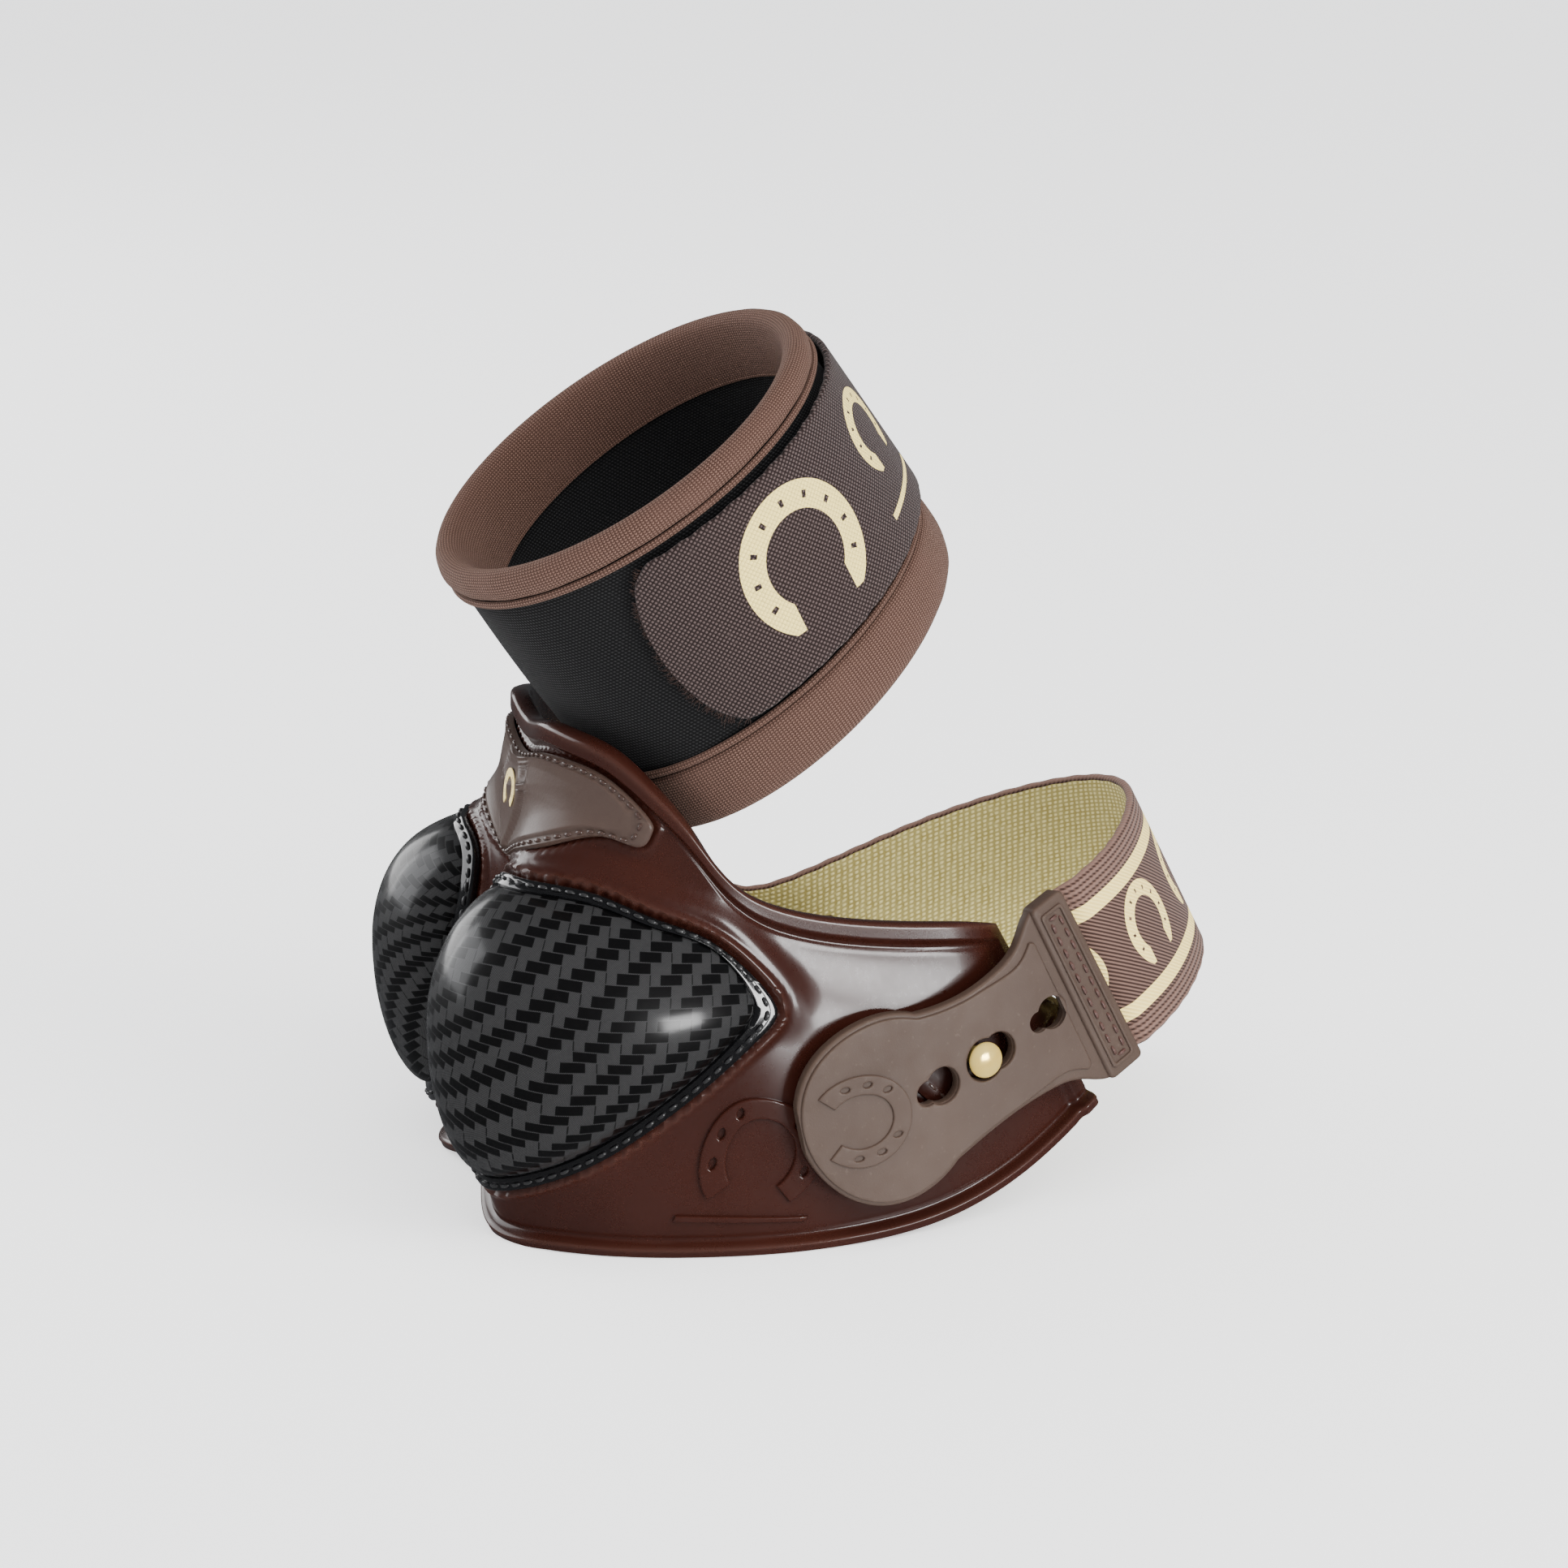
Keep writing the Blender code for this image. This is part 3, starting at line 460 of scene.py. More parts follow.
def black_neoprene():
    p = Paint("black_neoprene", 0.8, 0.1, sheen=(0.05, 0.4))
    x, y = p.flat()
    knit = p.wave(y * 0.55 + x, 0.95) * p.wave(y, 0.7)
    lint = p.span(p.noise(1500, 2, 0.6), 0.68, 0.74)
    base = p.mix(knit, (0.0042, 0.0042, 0.0044), (0.0240, 0.0240, 0.0250))
    p.colour(lint * 0.3, base, (0.05, 0.05, 0.052))
    p.bump(knit + p.noise(90) * 0.6, 0.16, strength=0.8)
    return p.mat


def knit_brown():
    p = Paint("knit_brown", 0.85, 0.15, sheen=(0.12, 0.4), Sheen_Tint=(0.75, 0.55, 0.45))
    x, y = p.flat()
    wale = p.wave(x, 0.85)
    loops = p.calc("POWER", wale, 0.6) * p.wave(y + wale * 0.25, 0.62)
    tone = p.mix(p.span(loops, 0.05, 0.8), (0.040, 0.0200, 0.0145), (0.180, 0.104, 0.080))
    p.colour(p.span(p.noise(70, 3), 0.3, 0.75) * 0.35, tone, (0.092, 0.050, 0.039))
    p.bump(loops, 0.22, strength=0.9)
    return p.mat


def strap_brown():
    p = Paint("strap_brown", 0.85, 0.15, sheen=(0.08, 0.45))
    x, y = p.flat()
    net = p.wave(x + y * 0.5, 0.95) * p.wave(y - x * 0.5, 0.95)
    tone = p.mix(p.span(net, 0.08, 0.62), (0.015, 0.0094, 0.0088), (0.090, 0.064, 0.061))
    fuzz = p.span(p.noise(1100, 3, 0.7), 0.55, 0.72)
    tone = p.mix(fuzz * 0.30, tone, (0.062, 0.044, 0.041))
    second = x - 53.0
    mark = p.horseshoe(x - 15.0, y, 31, math.radians(-8)) | p.horseshoe(second, y - 4.0, 20)
    mark = mark | (abs(y + 13.5) < 0.8) * (abs(second) < 13)
    mark = mark * p.span(net, 0.0, 0.12, 0.55, 1.0) * p.point("outside")
    p.colour(mark, tone, (1.0, 0.80, 0.27))
    p.bump(net + fuzz * 0.3, 0.26, strength=0.9)
    return p.mat


def elastic_outside():
    p = Paint("elastic_outside", 0.8, 0.15, sheen=(0.08, 0.4))
    x, y = p.flat()
    twill = p.wave(y * 1.1 + x, 1.35)
    away = abs(y)
    edge = away > 16.8
    relief = twill * p.span(edge, 0, 1, 1.0, 0.45) + p.wave(y, 1.45) * edge
    tone = p.mix(p.span(relief, 0.1, 0.95), (0.030, 0.0155, 0.0120), (0.165, 0.098, 0.078))
    along = (p.fract((x + 8.0) / MOTIF_PITCH) - 0.5) * MOTIF_PITCH
    mark = p.horseshoe(y, along, 20, math.pi / 2) * (x > 15.0)
    light = p.mix(twill, (0.82, 0.62, 0.20), (1.0, 0.80, 0.30))
    p.colour((abs(away - 14.2) < 1.9) | mark, tone, light)
    p.bump(relief, 0.25, strength=0.85)
    return p.mat


def elastic_inside():
    p = Paint("elastic_inside", 0.8, 0.15, sheen=(0.08, 0.4))
    x, y = p.flat()
    wander = p.flat_noise(0.35, 0.35)
    rib = p.wave(y * 0.45 + x + wander * 1.2, 1.7) * p.wave(y, 1.15)
    tone = p.mix(p.span(rib, 0.05, 0.75), (0.33, 0.27, 0.085), (0.78, 0.69, 0.31))
    p.colour(p.span(wander, 0.35, 0.7, 0, 0.3), tone, (0.60, 0.53, 0.23))
    p.bump(rib, 0.25, strength=0.85)
    return p.mat


def thread(name, colour, gloss):
    p = Paint(name, 0.35 if gloss else 0.6, coat=(0.6 if gloss else 0.1,))
    twist = p.noise(3200, 2, 0.6)
    p.colour(p.span(twist, 0.35, 0.65), tuple(c * 0.55 for c in colour), colour)
    p.bump(twist, 0.08, strength=0.7)
    return p.mat


def brass():
    p = Paint("brass", 0.16, Metallic=0.6)
    p.colour(p.span(p.noise(160, 3), 0.3, 0.7), (1.0, 0.68, 0.16), (1.0, 0.80, 0.28))
    p.set("Roughness", p.span(p.noise(900, 4, 0.7), 0.3, 0.75, 0.10, 0.28))
    p.bump(p.noise(500), 0.02, strength=0.3)
    return p.mat


def cream_print():
    p = Paint("cream_print", 0.42, coat=(0.2,))
    p.colour(p.noise(500, 3), (0.80, 0.62, 0.24), (0.95, 0.77, 0.34))
    p.bump(p.noise(1500), 0.02, strength=0.4)
    return p.mat


def plain_gel():
    p = Paint("gel", 0.4)
    p.colour(p.noise(80), (0.30, 0.28, 0.25), (0.40, 0.38, 0.34))
    return p.mat


def hook_tape():
    p = Paint("hook_tape", 0.6)
    x, y = p.flat()
    hooks = p.wave(x, 1.0) * p.wave(y, 0.8)
    p.colour(p.span(hooks, 0.3, 0.8), (0.010, 0.008, 0.008), (0.060, 0.045, 0.042))
    p.bump(hooks, 0.5)
    return p.mat


SHELL = moulded_brown()
PATCH = patch_brown()
RUBBER = tab_rubber()
PRINTED = dome_print()
BLACK = gloss_black()
NEOPRENE = black_neoprene()
KNIT = knit_brown()
STRAP = strap_brown()
ELASTIC_OUT = elastic_outside()
ELASTIC_IN = elastic_inside()
THREAD_BLACK = thread("thread_black", (0.022, 0.022, 0.023), True)
THREAD_BROWN = thread("thread_brown", (0.060, 0.034, 0.027), True)
THREAD_TAB = thread("thread_tab", (0.085, 0.040, 0.032), False)
BRASS = brass()
CREAM = cream_print()
GEL = plain_gel()


# ---- meshes ----

STITCH_LIFT = 0.15


def add(name, data):
    obj = bpy.data.objects.new(name, data)
    bpy.context.scene.collection.objects.link(obj)
    return obj


def piece(name, points, faces, mats, slot, flat=None, faces_mat=None, sharp=None, extra=(),
          wrap=None):
    """An object from points in design millimetres, with its flat coordinates as a UV map."""
    mesh = bpy.data.meshes.new(name)
    mesh.from_pydata(metres(points).tolist(), [], [list(map(int, f)) for f in faces])
    for mat in mats if isinstance(mats, list) else [mats]:
        mesh.materials.append(mat)
    if faces_mat is not None:
        mesh.polygons.foreach_set("material_index", np.asarray(faces_mat, np.int32))
    if flat is not None:
        layer = mesh.uv_layers.new(name="flat")
        corner = np.zeros(len(mesh.loops), np.int32)
        mesh.loops.foreach_get("vertex_index", corner)
        laid = np.asarray(flat, np.float32)[corner]
        if wrap:                               # the quads that close the ring run on past its end
            across = laid[:, 0].reshape(-1, 4)
            past = across.max(axis=1, keepdims=True) - across > wrap / 2
            laid[:, 0] += (wrap * past).ravel()
        layer.data.foreach_set("uv", laid.ravel())
    for key, values in extra:
        spots = mesh.attributes.new(key, "FLOAT", "POINT").data
        spots.foreach_set("value", np.asarray(values, np.float32))
    shape = bmesh.new()
    shape.from_mesh(mesh)
    bmesh.ops.recalc_face_normals(shape, faces=shape.faces)
    shape.to_mesh(mesh)
    shape.free()
    mesh.shade_smooth()
    if sharp:
        mesh.set_sharp_from_angle(angle=math.radians(sharp))
    obj = add(name, mesh)
    return obj


def place(obj, body, *nodes):
    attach(obj, body)
    if nodes:
        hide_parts(*nodes)
    return obj


def layered(outer, inner):
    """Faces of a closed solid between two equal grids; points are the outer's, then the inner's."""
    count, rows = outer.shape[:2]
    at = np.arange(count * rows).reshape(count, rows)
    top = np.stack([at[:-1, :-1], at[1:, :-1], at[1:, 1:], at[:-1, 1:]], axis=-1).reshape(-1, 4)
    below = top[:, ::-1] + count * rows
    rim = np.concatenate([at[:, 0], at[-1, 1:], at[-2::-1, -1], at[0, -2:0:-1]])
    after = np.roll(rim, -1)
    side = np.stack([rim, after, after + count * rows, rim + count * rows], axis=-1)
    points = np.concatenate([outer.reshape(-1, 3), inner.reshape(-1, 3)])
    return points, np.concatenate([top, below, side])


def swept(rings, closed=False):
    """Faces between closed sections, shape (sections, points, 3), with flat ends when open."""
    count, around = rings.shape[:2]
    at = np.arange(count * around).reshape(count, around)
    after = np.roll(at, -1, axis=1)
    if closed:
        ahead, ahead_after = np.roll(at, -1, axis=0), np.roll(after, -1, axis=0)
    else:
        at, after, ahead, ahead_after = at[:-1], after[:-1], at[1:], after[1:]
    quads = np.stack([at, ahead, ahead_after, after], axis=-1).reshape(-1, 4)
    faces = [tuple(q) for q in quads]
    if not closed:
        faces.append(tuple(range(around))[::-1])
        faces.append(tuple(range((count - 1) * around, count * around)))
    return rings.reshape(-1, 3), faces


def swept_all(threads):
    """Many swept solids with equal counts of points, as one mesh."""
    points = []
    faces = []
    for rings in threads:
        p, f = swept(rings)
        faces += [[i + len(points) * len(p) for i in face] for face in f]
        points.append(p)
    return np.concatenate(points), faces


def strip_section(half, thick, steps, round_steps=4):
    """A strap's cross-section, (across, out): a flat bar with rounded edges, outer face first."""
    r = thick / 2
    across = np.linspace(-half + r, half - r, steps)
    turn = np.radians(np.linspace(90, -90, round_steps + 2)[1:-1])
    right = [(half - r + r * math.cos(a), r * math.sin(a)) for a in turn]
    left = [(-x, -y) for x, y in right]
    return np.array([(a, r) for a in across] + right + [(a, -r) for a in across[::-1]] + left)


def slab(name, outlines, thick, bevel, where, mat, slot, step=2.0):
    """A flat piece cut to outlines, with rounded edges, then bent onto a surface by `where`."""
    curve = bpy.data.curves.new(name, "CURVE")
    curve.dimensions = "2D"
    curve.fill_mode = "BOTH"
    curve.extrude = max(thick / 2 - bevel, 1e-4)
    curve.bevel_depth = bevel
    curve.bevel_resolution = 3
    curve.offset = -bevel
    for outline in outlines:
        line = curve.splines.new("POLY")
        line.points.add(len(outline) - 1)
        for spot, (x, y) in zip(line.points, outline):
            spot.co = (x, y, 0, 1)
        line.use_cyclic_u = True
    flat = add(name, curve)
    bpy.context.view_layer.update()
    graph = bpy.context.evaluated_depsgraph_get()
    mesh = bpy.data.meshes.new_from_object(flat.evaluated_get(graph))
    bpy.data.objects.remove(flat)
    shape = bmesh.new()
    shape.from_mesh(mesh)
    bmesh.ops.remove_doubles(shape, verts=shape.verts, dist=1e-4)
    corners = np.array([v.co for v in shape.verts])
    for axis, aim in enumerate(np.eye(3)[:2]):
        for cut in np.arange(corners[:, axis].min() + step, corners[:, axis].max(), step):
            whole = shape.verts[:] + shape.edges[:] + shape.faces[:]
            bmesh.ops.bisect_plane(shape, geom=whole, dist=1e-5,
                                   plane_co=tuple(aim * cut), plane_no=tuple(aim))
    points = np.array([v.co for v in shape.verts])
    shape.verts.index_update()
    faces = [[v.index for v in f.verts] for f in shape.faces]
    shape.free()
    bpy.data.meshes.remove(mesh)
    return piece(name, where(*points.T), faces, mat, slot, flat=points[:, :2], sharp=35)


def stitches(name, line, where, height, mat, body, node, long, gap, radius):
    """A closed row of separate stitches, each a short arched thread.

    `where` takes the line's flat coordinates and a height, and gives points.
    """
    path = where(*line.T, height)
    normals = unit(where(*line.T, height + 1) - path)
    path, normals = [np.concatenate([v, v[:1]]) for v in (path, normals)]
    lengths = lengths_of(path)
    count = max(1, round(lengths[-1] / (long + gap)))
    pitch = lengths[-1] / count
    ring = np.radians(np.arange(0, 360, 60))[None, :, None]
    share = np.array((0, 0.12, 0.35, 0.65, 0.88, 1.0))
    thick = np.array((0.25, 0.8, 1.0, 1.0, 0.8, 0.25))
    dip = np.array((-0.9, -0.2, 0.15, 0.15, -0.2, -0.9))
    threads = []
    for k in range(count):
        s = pitch * k + gap / 2 + (pitch - gap) * share
        centre, n = [
            np.stack([np.interp(s, lengths, v[:, axis]) for axis in range(3)], axis=-1)
            for v in (path, normals)
        ]
        n = unit(n)
        side = unit(np.cross(unit(np.gradient(centre, axis=0)), n))
        middle = centre + n * (STITCH_LIFT + dip * radius)[:, None]
        round_thread = np.cos(ring) * n[:, None] + np.sin(ring) * side[:, None] * 1.15
        threads.append(middle[:, None] + radius * thick[:, None, None] * round_thread)
    place(piece(name, *swept_all(threads), mat, "thread", sharp=60), body, node)


def horseshoe(width, middle=(0, 0), turn=0.0):
    """Outlines of a generic horseshoe with three nail holes on each side."""
    half = width / 2
    angles = np.radians(np.linspace(-48, 228, 41))
    outer = np.stack([np.cos(angles), HORSESHOE_LONG * np.sin(angles)], axis=1) * half
    inner = np.stack([0.58 * np.cos(angles[::-1]), 0.70 * np.sin(angles[::-1])], axis=1) * half
    lines = [np.concatenate([outer, inner])]
    r = 0.062 * half
    round_nail = np.radians(np.arange(0, 360, 45))
    nail = np.stack([r * np.cos(round_nail), 1.7 * r * np.sin(round_nail)], axis=1)
    for side in (-1, 1):
        for a in np.radians((-14, 18, 50)):
            lines.append(nail + np.array((side * 0.79 * math.cos(a), 0.91 * math.sin(a))) * half)
    c, s = math.cos(turn), math.sin(turn)
    return [line @ np.array(((c, s), (-s, c))) + middle for line in lines]


def shell_patch(across, up, lift=0.0):
    """A map from flat millimetres round one spot of the shell to points over it."""
    spot = shell_surface([across], [up])[0]
    step = 0.02
    side = (shell_surface([across + step], [up])[0] - spot) / step
    rise = (shell_surface([across], [up + step])[0] - spot) / step
    ex = unit(side)
    ey = unit(rise - ex * (rise @ ex))
    turn = np.linalg.inv(np.array(((side @ ex, rise @ ex), (side @ ey, rise @ ey))))

    def where(x, y, z):
        move = turn @ np.stack([x, y])
        return on_shell(across + move[0], up + move[1], np.asarray(z) + lift)

    return where


def round_pad(name, outline, middle, shares, outer, inner, mats, slot, rim_from=2.0, sharp=None):
    """A closed pad on the shell, in rings from its middle to its outline.

    `outer` and `inner` give its heights from share, shell row and flat coordinates in
    millimetres. The second material starts after the share `rim_from`.
    """
    count = len(outline)
    rings = np.concatenate([[0], shares])
    net = np.array([shrunk(outline, middle, s) for s in rings])
    across, row = net.reshape(-1, 2).T
    base = shell_surface(across, row)
    normal = shell_normal(across, row)
    spot = base[0]
    ex = unit(shell_surface([middle[0] + 0.02], [middle[1]])[0] - spot)
    ey = np.cross(normal[0], ex)
    flat = np.stack([(base - spot) @ ex, (base - spot) @ ey], axis=1)
    share = np.repeat(rings, count)
    heights = [np.reshape(f(share, row, *flat.T), (-1, 1)) for f in (outer, inner)]
    points = np.concatenate([base + normal * height for height in heights])
    at = np.arange(len(rings) * count).reshape(len(rings), count)
    after = np.roll(at, -1, axis=1)
    half = at.size
    skin = np.linalg.norm(np.diff(points[:half].reshape(*at.shape, 3), axis=0), axis=2)
    reach = np.concatenate([np.zeros((1, count)), np.cumsum(skin, axis=0)]).ravel()
    flat *= (reach / np.maximum(np.hypot(*flat.T), 1e-6))[:, None]      # true lengths over the skin
    merged = np.arange(2 * half)
    merged[:count] = 0                         # the first ring is one point on each face of the pad
    merged[half:half + count] = half
    faces = []
    mat_index = []
    for r in range(len(rings) - 1):
        for i in range(count):
            a, b, c, d = at[r, i], after[r, i], after[r + 1, i], at[r + 1, i]
            for quad in ((a, d, c, b), (half + a, half + b, half + c, half + d)):
                faces.append(tuple(dict.fromkeys(merged[list(quad)].tolist())))
                mat_index.append(int(rings[r + 1] > rim_from))
    for i in range(count):
        faces.append((at[-1, i], half + at[-1, i], half + after[-1, i], after[-1, i]))
        mat_index.append(int(rim_from < 1))
    used, places = np.unique(merged, return_inverse=True)
    faces = [[places[q] for q in f] for f in faces]
    flat = np.concatenate([flat, flat])[used]
    return piece(name, points[used], faces, mats, slot, flat=flat, faces_mat=mat_index, sharp=sharp)


def signed_distance(points, across, up, outline):
    """Millimetres from each shell point to an outline on it, negative inside."""
    far = np.full(len(points), 1e9)
    for spot in shell_surface(*outline.T):
        far = np.minimum(far, ((points - spot) ** 2).sum(axis=1))
    inside = np.zeros(len(points), bool)
    for (x0, y0), (x1, y1) in zip(outline, np.roll(outline, -1, axis=0)):
        if y0 != y1:
            edge = (x1 - x0) * (up - y0) / (y1 - y0) + x0
            inside ^= ((up > y0) != (up > y1)) & (across < edge)
    return np.where(inside, -1, 1) * np.sqrt(far)


# ---- the moulded shell ----

DOME_LINE = smooth_outline(DOME_OUTLINE, 128)
HALF_SHIELD = np.array(SHIELD_OUTLINE)
SHIELD_LINE = smooth_outline(np.concatenate([HALF_SHIELD, HALF_SHIELD[1:-1][::-1] * (-1, 1)]), 120)
EMBLEM_SPOT = (5.40, 1.80)                     # across and up the shell


def hump(value, middle, wide):
    return np.exp(-((value - middle) / wide) ** 2)


def rounded(edge, radius):
    """How far a surface drops near its edge when the edge is rounded."""
    return radius - np.sqrt(np.maximum(radius**2 - np.maximum(radius - edge, 0) ** 2, 0))


def lengths_along(points, axis):
    """Millimetres along a grid's lines from their start."""
    run = np.cumsum(np.linalg.norm(np.diff(points, axis=axis), axis=2), axis=axis)
    return np.concatenate([np.zeros_like(run.take([0], axis)), run], axis=axis)


def build_shell():
    ends = np.array((0, 0.35, 0.8, 1.3, 1.9, 2.6, 3.4, 4.1, 4.6, 5.1, 5.7, 6.6, 8.0)) / 24
    across = np.concatenate([-SEWN_COUNT + ends, np.linspace(-7.5, -6.3, 14),
                             np.linspace(-6.2, 6.2, 274), np.linspace(6.3, 8.5, 26),
                             STUD_COUNT - ends[::-1]])
    up = np.concatenate([np.linspace(0, 0.5, 16), np.arange(0.556, 6.38, 0.056),
                         np.linspace(6.4, TOP_ROW, 32)])
    shape = (len(across), len(up), 3)
    u, v = grid(across, up)
    base = shell_surface(u, v)
    from_foot = lengths_along(base.reshape(shape), 1)
    from_top = (from_foot[:, -1:] - from_foot).ravel()
    from_foot = from_foot.ravel()
    from_end = lengths_along(base.reshape(shape), 0)
    from_end = np.minimum(from_end, from_end[-1:] - from_end).ravel()
    edge = np.minimum(from_top, from_end)

    collar = 1 - ease(np.abs(u), 3.8, 5.6)
    border = (0.85 + 0.85 * collar) * (1 - ease(edge, 4.0, 5.6)) - 0.3 * hump(edge, 6.3, 0.8)
    lip = 2.2 * (1 - ease(from_foot, 2.5, 3.5)) - 0.25 * hump(from_foot, 4.1, 0.6)
    bead = 0.35 * hump(from_foot, 2.1, 0.5)
    drop = rounded(edge, 1.4) + rounded(from_foot, 0.7)

    welts = np.zeros(len(u))
    swell = np.zeros(len(u))
    for sign in (1, -1):
        away = signed_distance(base, u, v, DOME_LINE * (sign, 1))
        welts += (away > 0) * 1.25 * hump(away, 1.9, 0.95)
        over = np.arctan2((v - DOME_MIDDLE[1]) * 1.5, np.abs(u) - DOME_MIDDLE[0])
        brow = ease(np.sin(over), 0.25, 0.9) * (np.sign(u) == sign)
        swell += (away > 0) * brow * 1.5 * hump(away, 4.5, 3.6)
    away = signed_distance(base, u, v, SHIELD_LINE)
    welts += (away > 0) * 0.6 * hump(away, 1.2, 0.6) * ease(edge, 5, 7)

    normal = shell_normal(u, v)
    outer = base + normal * (border + lip + bead + welts + swell - drop)[:, None]
    inner = base - normal * (SHELL_THICK - drop * 0.8)[:, None]
    floor = np.where((v == 0) & (outer[:, 2] >= 0.6), outer[:, 2], 0)
    outer[:, 2] = np.maximum(outer[:, 2], floor)
    inner[:, 2] = np.where(v == 0, floor, np.maximum(inner[:, 2], 0.4))
    crest = np.clip(welts / 1.3, 0, 1) ** 2 + hump(edge, 1.2, 0.8) + hump(from_foot, 2.3, 0.5)
    crest = np.concatenate([np.clip(crest, 0, 1), np.zeros(len(u))])
    points, faces = layered(outer.reshape(shape), inner.reshape(shape))
    shell = piece("moulded_shell", points, faces, SHELL, "moulded_brown", sharp=50,
                  extra=[("crest", crest)])
    place(shell, "shell", "outer_shell")

    bar = np.array([(-14, -17.6), (14, -17.6), (14, -15.8), (-14, -15.8)])
    for name, outlines, thick, bevel, lift in (
        ("shell_emblem", horseshoe(27), 1.5, 0.5, 0.25),
        ("shell_emblem_bar", [bar], 1.3, 0.45, 0.2),
    ):
        where = shell_patch(*EMBLEM_SPOT, lift)
        place(slab(name, outlines, thick, bevel, where, SHELL, "moulded_brown"), "shell")


def build_lining():
    across = np.linspace(-SEWN_COUNT + 0.42, STUD_COUNT - 0.42, 200)
    up = np.linspace(0.45, 5.5, 50)
    u, v = grid(across, up)
    ends = np.minimum(np.minimum(u - across[0], across[-1] - u) * 20,
                      np.minimum(v - up[0], up[-1] - v) * 14)
    thin = 1 - ease(ends, 0, 2.5)
    layers = [on_shell(u, v, -SHELL_THICK - GAP - deep).reshape(len(across), len(up), 3)
              for deep in (thin * 0.2, LINING_THICK - thin)]
    flat = np.concatenate([np.stack([u * 18, v * 15], axis=1)] * 2)
    lining = piece("soft_lining", *layered(*layers), NEOPRENE, "neoprene", flat=flat, sharp=50)
    place(lining, "shell", "shell_lining")


# ---- domes and shield ----

def build_dome(side, sign):
    outline = DOME_LINE * (sign, 1)
    middle = (DOME_MIDDLE[0] * sign, DOME_MIDDLE[1])
    crown = 0.893                              # the share where the gel ends and the flange starts
    flange_at = np.array((crown, 0.897, 0.905, 0.925, 0.945, 0.965, 0.985, 0.994, 1.0))
    shares = np.concatenate([crown * np.sin(np.linspace(0, math.pi / 2, 44))[1:], flange_at[1:]])
    top = SKIN_GAP + FLANGE_THICK
    flange = top + np.array((-0.55, -0.45, 0.15, 0.2, 0.02, 0.02, 0.15, -0.1, -0.8))

    def swell(share, row):
        fall = 1 - DOME_FALL * ease(row, *DOME_FALL_ROWS)
        return DOME_RISE * (1 - np.minimum(share / crown, 1) ** 2.6) ** 0.62 * fall

    def outer(share, row, *_):
        gel = top - 0.5 + swell(share, row)
        return np.where(share < crown, gel, np.interp(share, flange_at, flange))

    def inner(share, row, *_):
        under = np.maximum(top + swell(share, row) - 2.9, SKIN_GAP)
        return np.where(share < 0.86, under, SKIN_GAP)

    dome = round_pad("gel_dome_" + side, outline, middle, shares, outer, inner, [PRINTED, BLACK],
                     "gloss_black", rim_from=crown + 0.001, sharp=55)
    place(dome, "shell", "dome_cover_" + side)
    stitches("dome_stitches_" + side, shrunk(outline, middle, 0.952), on_shell, top + 0.12,
             THREAD_BLACK, "shell", "dome_thread_" + side, long=2.5, gap=0.8, radius=0.40)


def build_shield():
    shares = np.concatenate([np.linspace(0, 1, 40)[1:-2] ** 0.9 * 0.985, (0.985, 0.995, 1.0)])
    shares = np.unique(np.round(shares, 5))

    def outer(share, row, x, y):
        crown = np.interp(share, (0, 0.3, 0.62, 0.80, 0.87, 0.90, 0.96, 0.985, 1.0),
                          (2.6, 2.2, 1.9, 1.9, 1.95, 1.3, 1.3, 1.35, 0.7))
        over = np.abs(x - 1.5) - 8.0 * np.maximum(1 - (y / 15.5) ** 2, 0)
        raised = 0.9 * (1 - ease(over, -1.0, 0.4)) - 0.3 * hump(over, 0.9, 0.6)
        return SKIN_GAP + crown + raised * (share < 0.9)

    def inner(share, *_):
        return np.full(len(share), SKIN_GAP)

    shield = round_pad("shield_cover", SHIELD_LINE, SHIELD_MIDDLE, shares, outer, inner, PATCH,
                       "moulded_brown", sharp=60)
    place(shield, "shell", "neck_shield")
    stitches("shield_stitches", shrunk(SHIELD_LINE, SHIELD_MIDDLE, 0.945), on_shell, SKIN_GAP + 1.4,
             THREAD_BROWN, "shell", "neck_shield_thread", long=1.9, gap=0.9, radius=0.36)
    where = shell_patch(0.18, 5.95, SKIN_GAP + 3.35)
    place(slab("shield_emblem", horseshoe(9.0), 0.3, 0.1, where, CREAM, "thread", 1.0), "shell")


def build_stud_patch():
    corners = np.array(STUD_PATCH)
    n = 40
    s, t = grid(np.linspace(0, 1, n), np.linspace(0, 1, n))
    weights = np.stack([(1 - s) * (1 - t), s * (1 - t), s * t, (1 - s) * t], axis=1)
    u, v = (weights @ corners).T
    inset = np.minimum(np.minimum(s, 1 - s), np.minimum(t, 1 - t)) * 30
    top = SKIN_GAP / 2 + 0.8 - 0.4 * (1 - ease(inset, 0, 0.9))
    top += 0.3 * hump(inset, 1.6, 0.9) - 0.2 * hump(inset, 3.4, 0.6)
    layers = [on_shell(u, v, height).reshape(n, n, 3) for height in (top, 0.0)]
    patch = piece("stud_side_patch", *layered(*layers), SHELL, "moulded_brown", sharp=50)
    place(patch, "shell", "stud_patch")
    line = shrunk(corner_line(STUD_PATCH, 12), np.mean(STUD_PATCH, axis=0), 0.88)
    stitches("stud_patch_stitches", line, on_shell, SKIN_GAP / 2 + 0.85,
             THREAD_BROWN, "shell", "stud_patch_thread", long=3.0, gap=1.0, radius=0.34)


# ---- the stud ----

def lathe(name, profile, foot, axes):
    x, y, out = axes
    turn = np.linspace(0, 2 * math.pi, 56, endpoint=False)
    rings = np.array([[foot + r * (math.cos(a) * x + math.sin(a) * y) + z * out for r, z in profile]
                      for a in turn])
    return piece(name, *swept(rings, closed=True), BRASS, "brass", sharp=45)


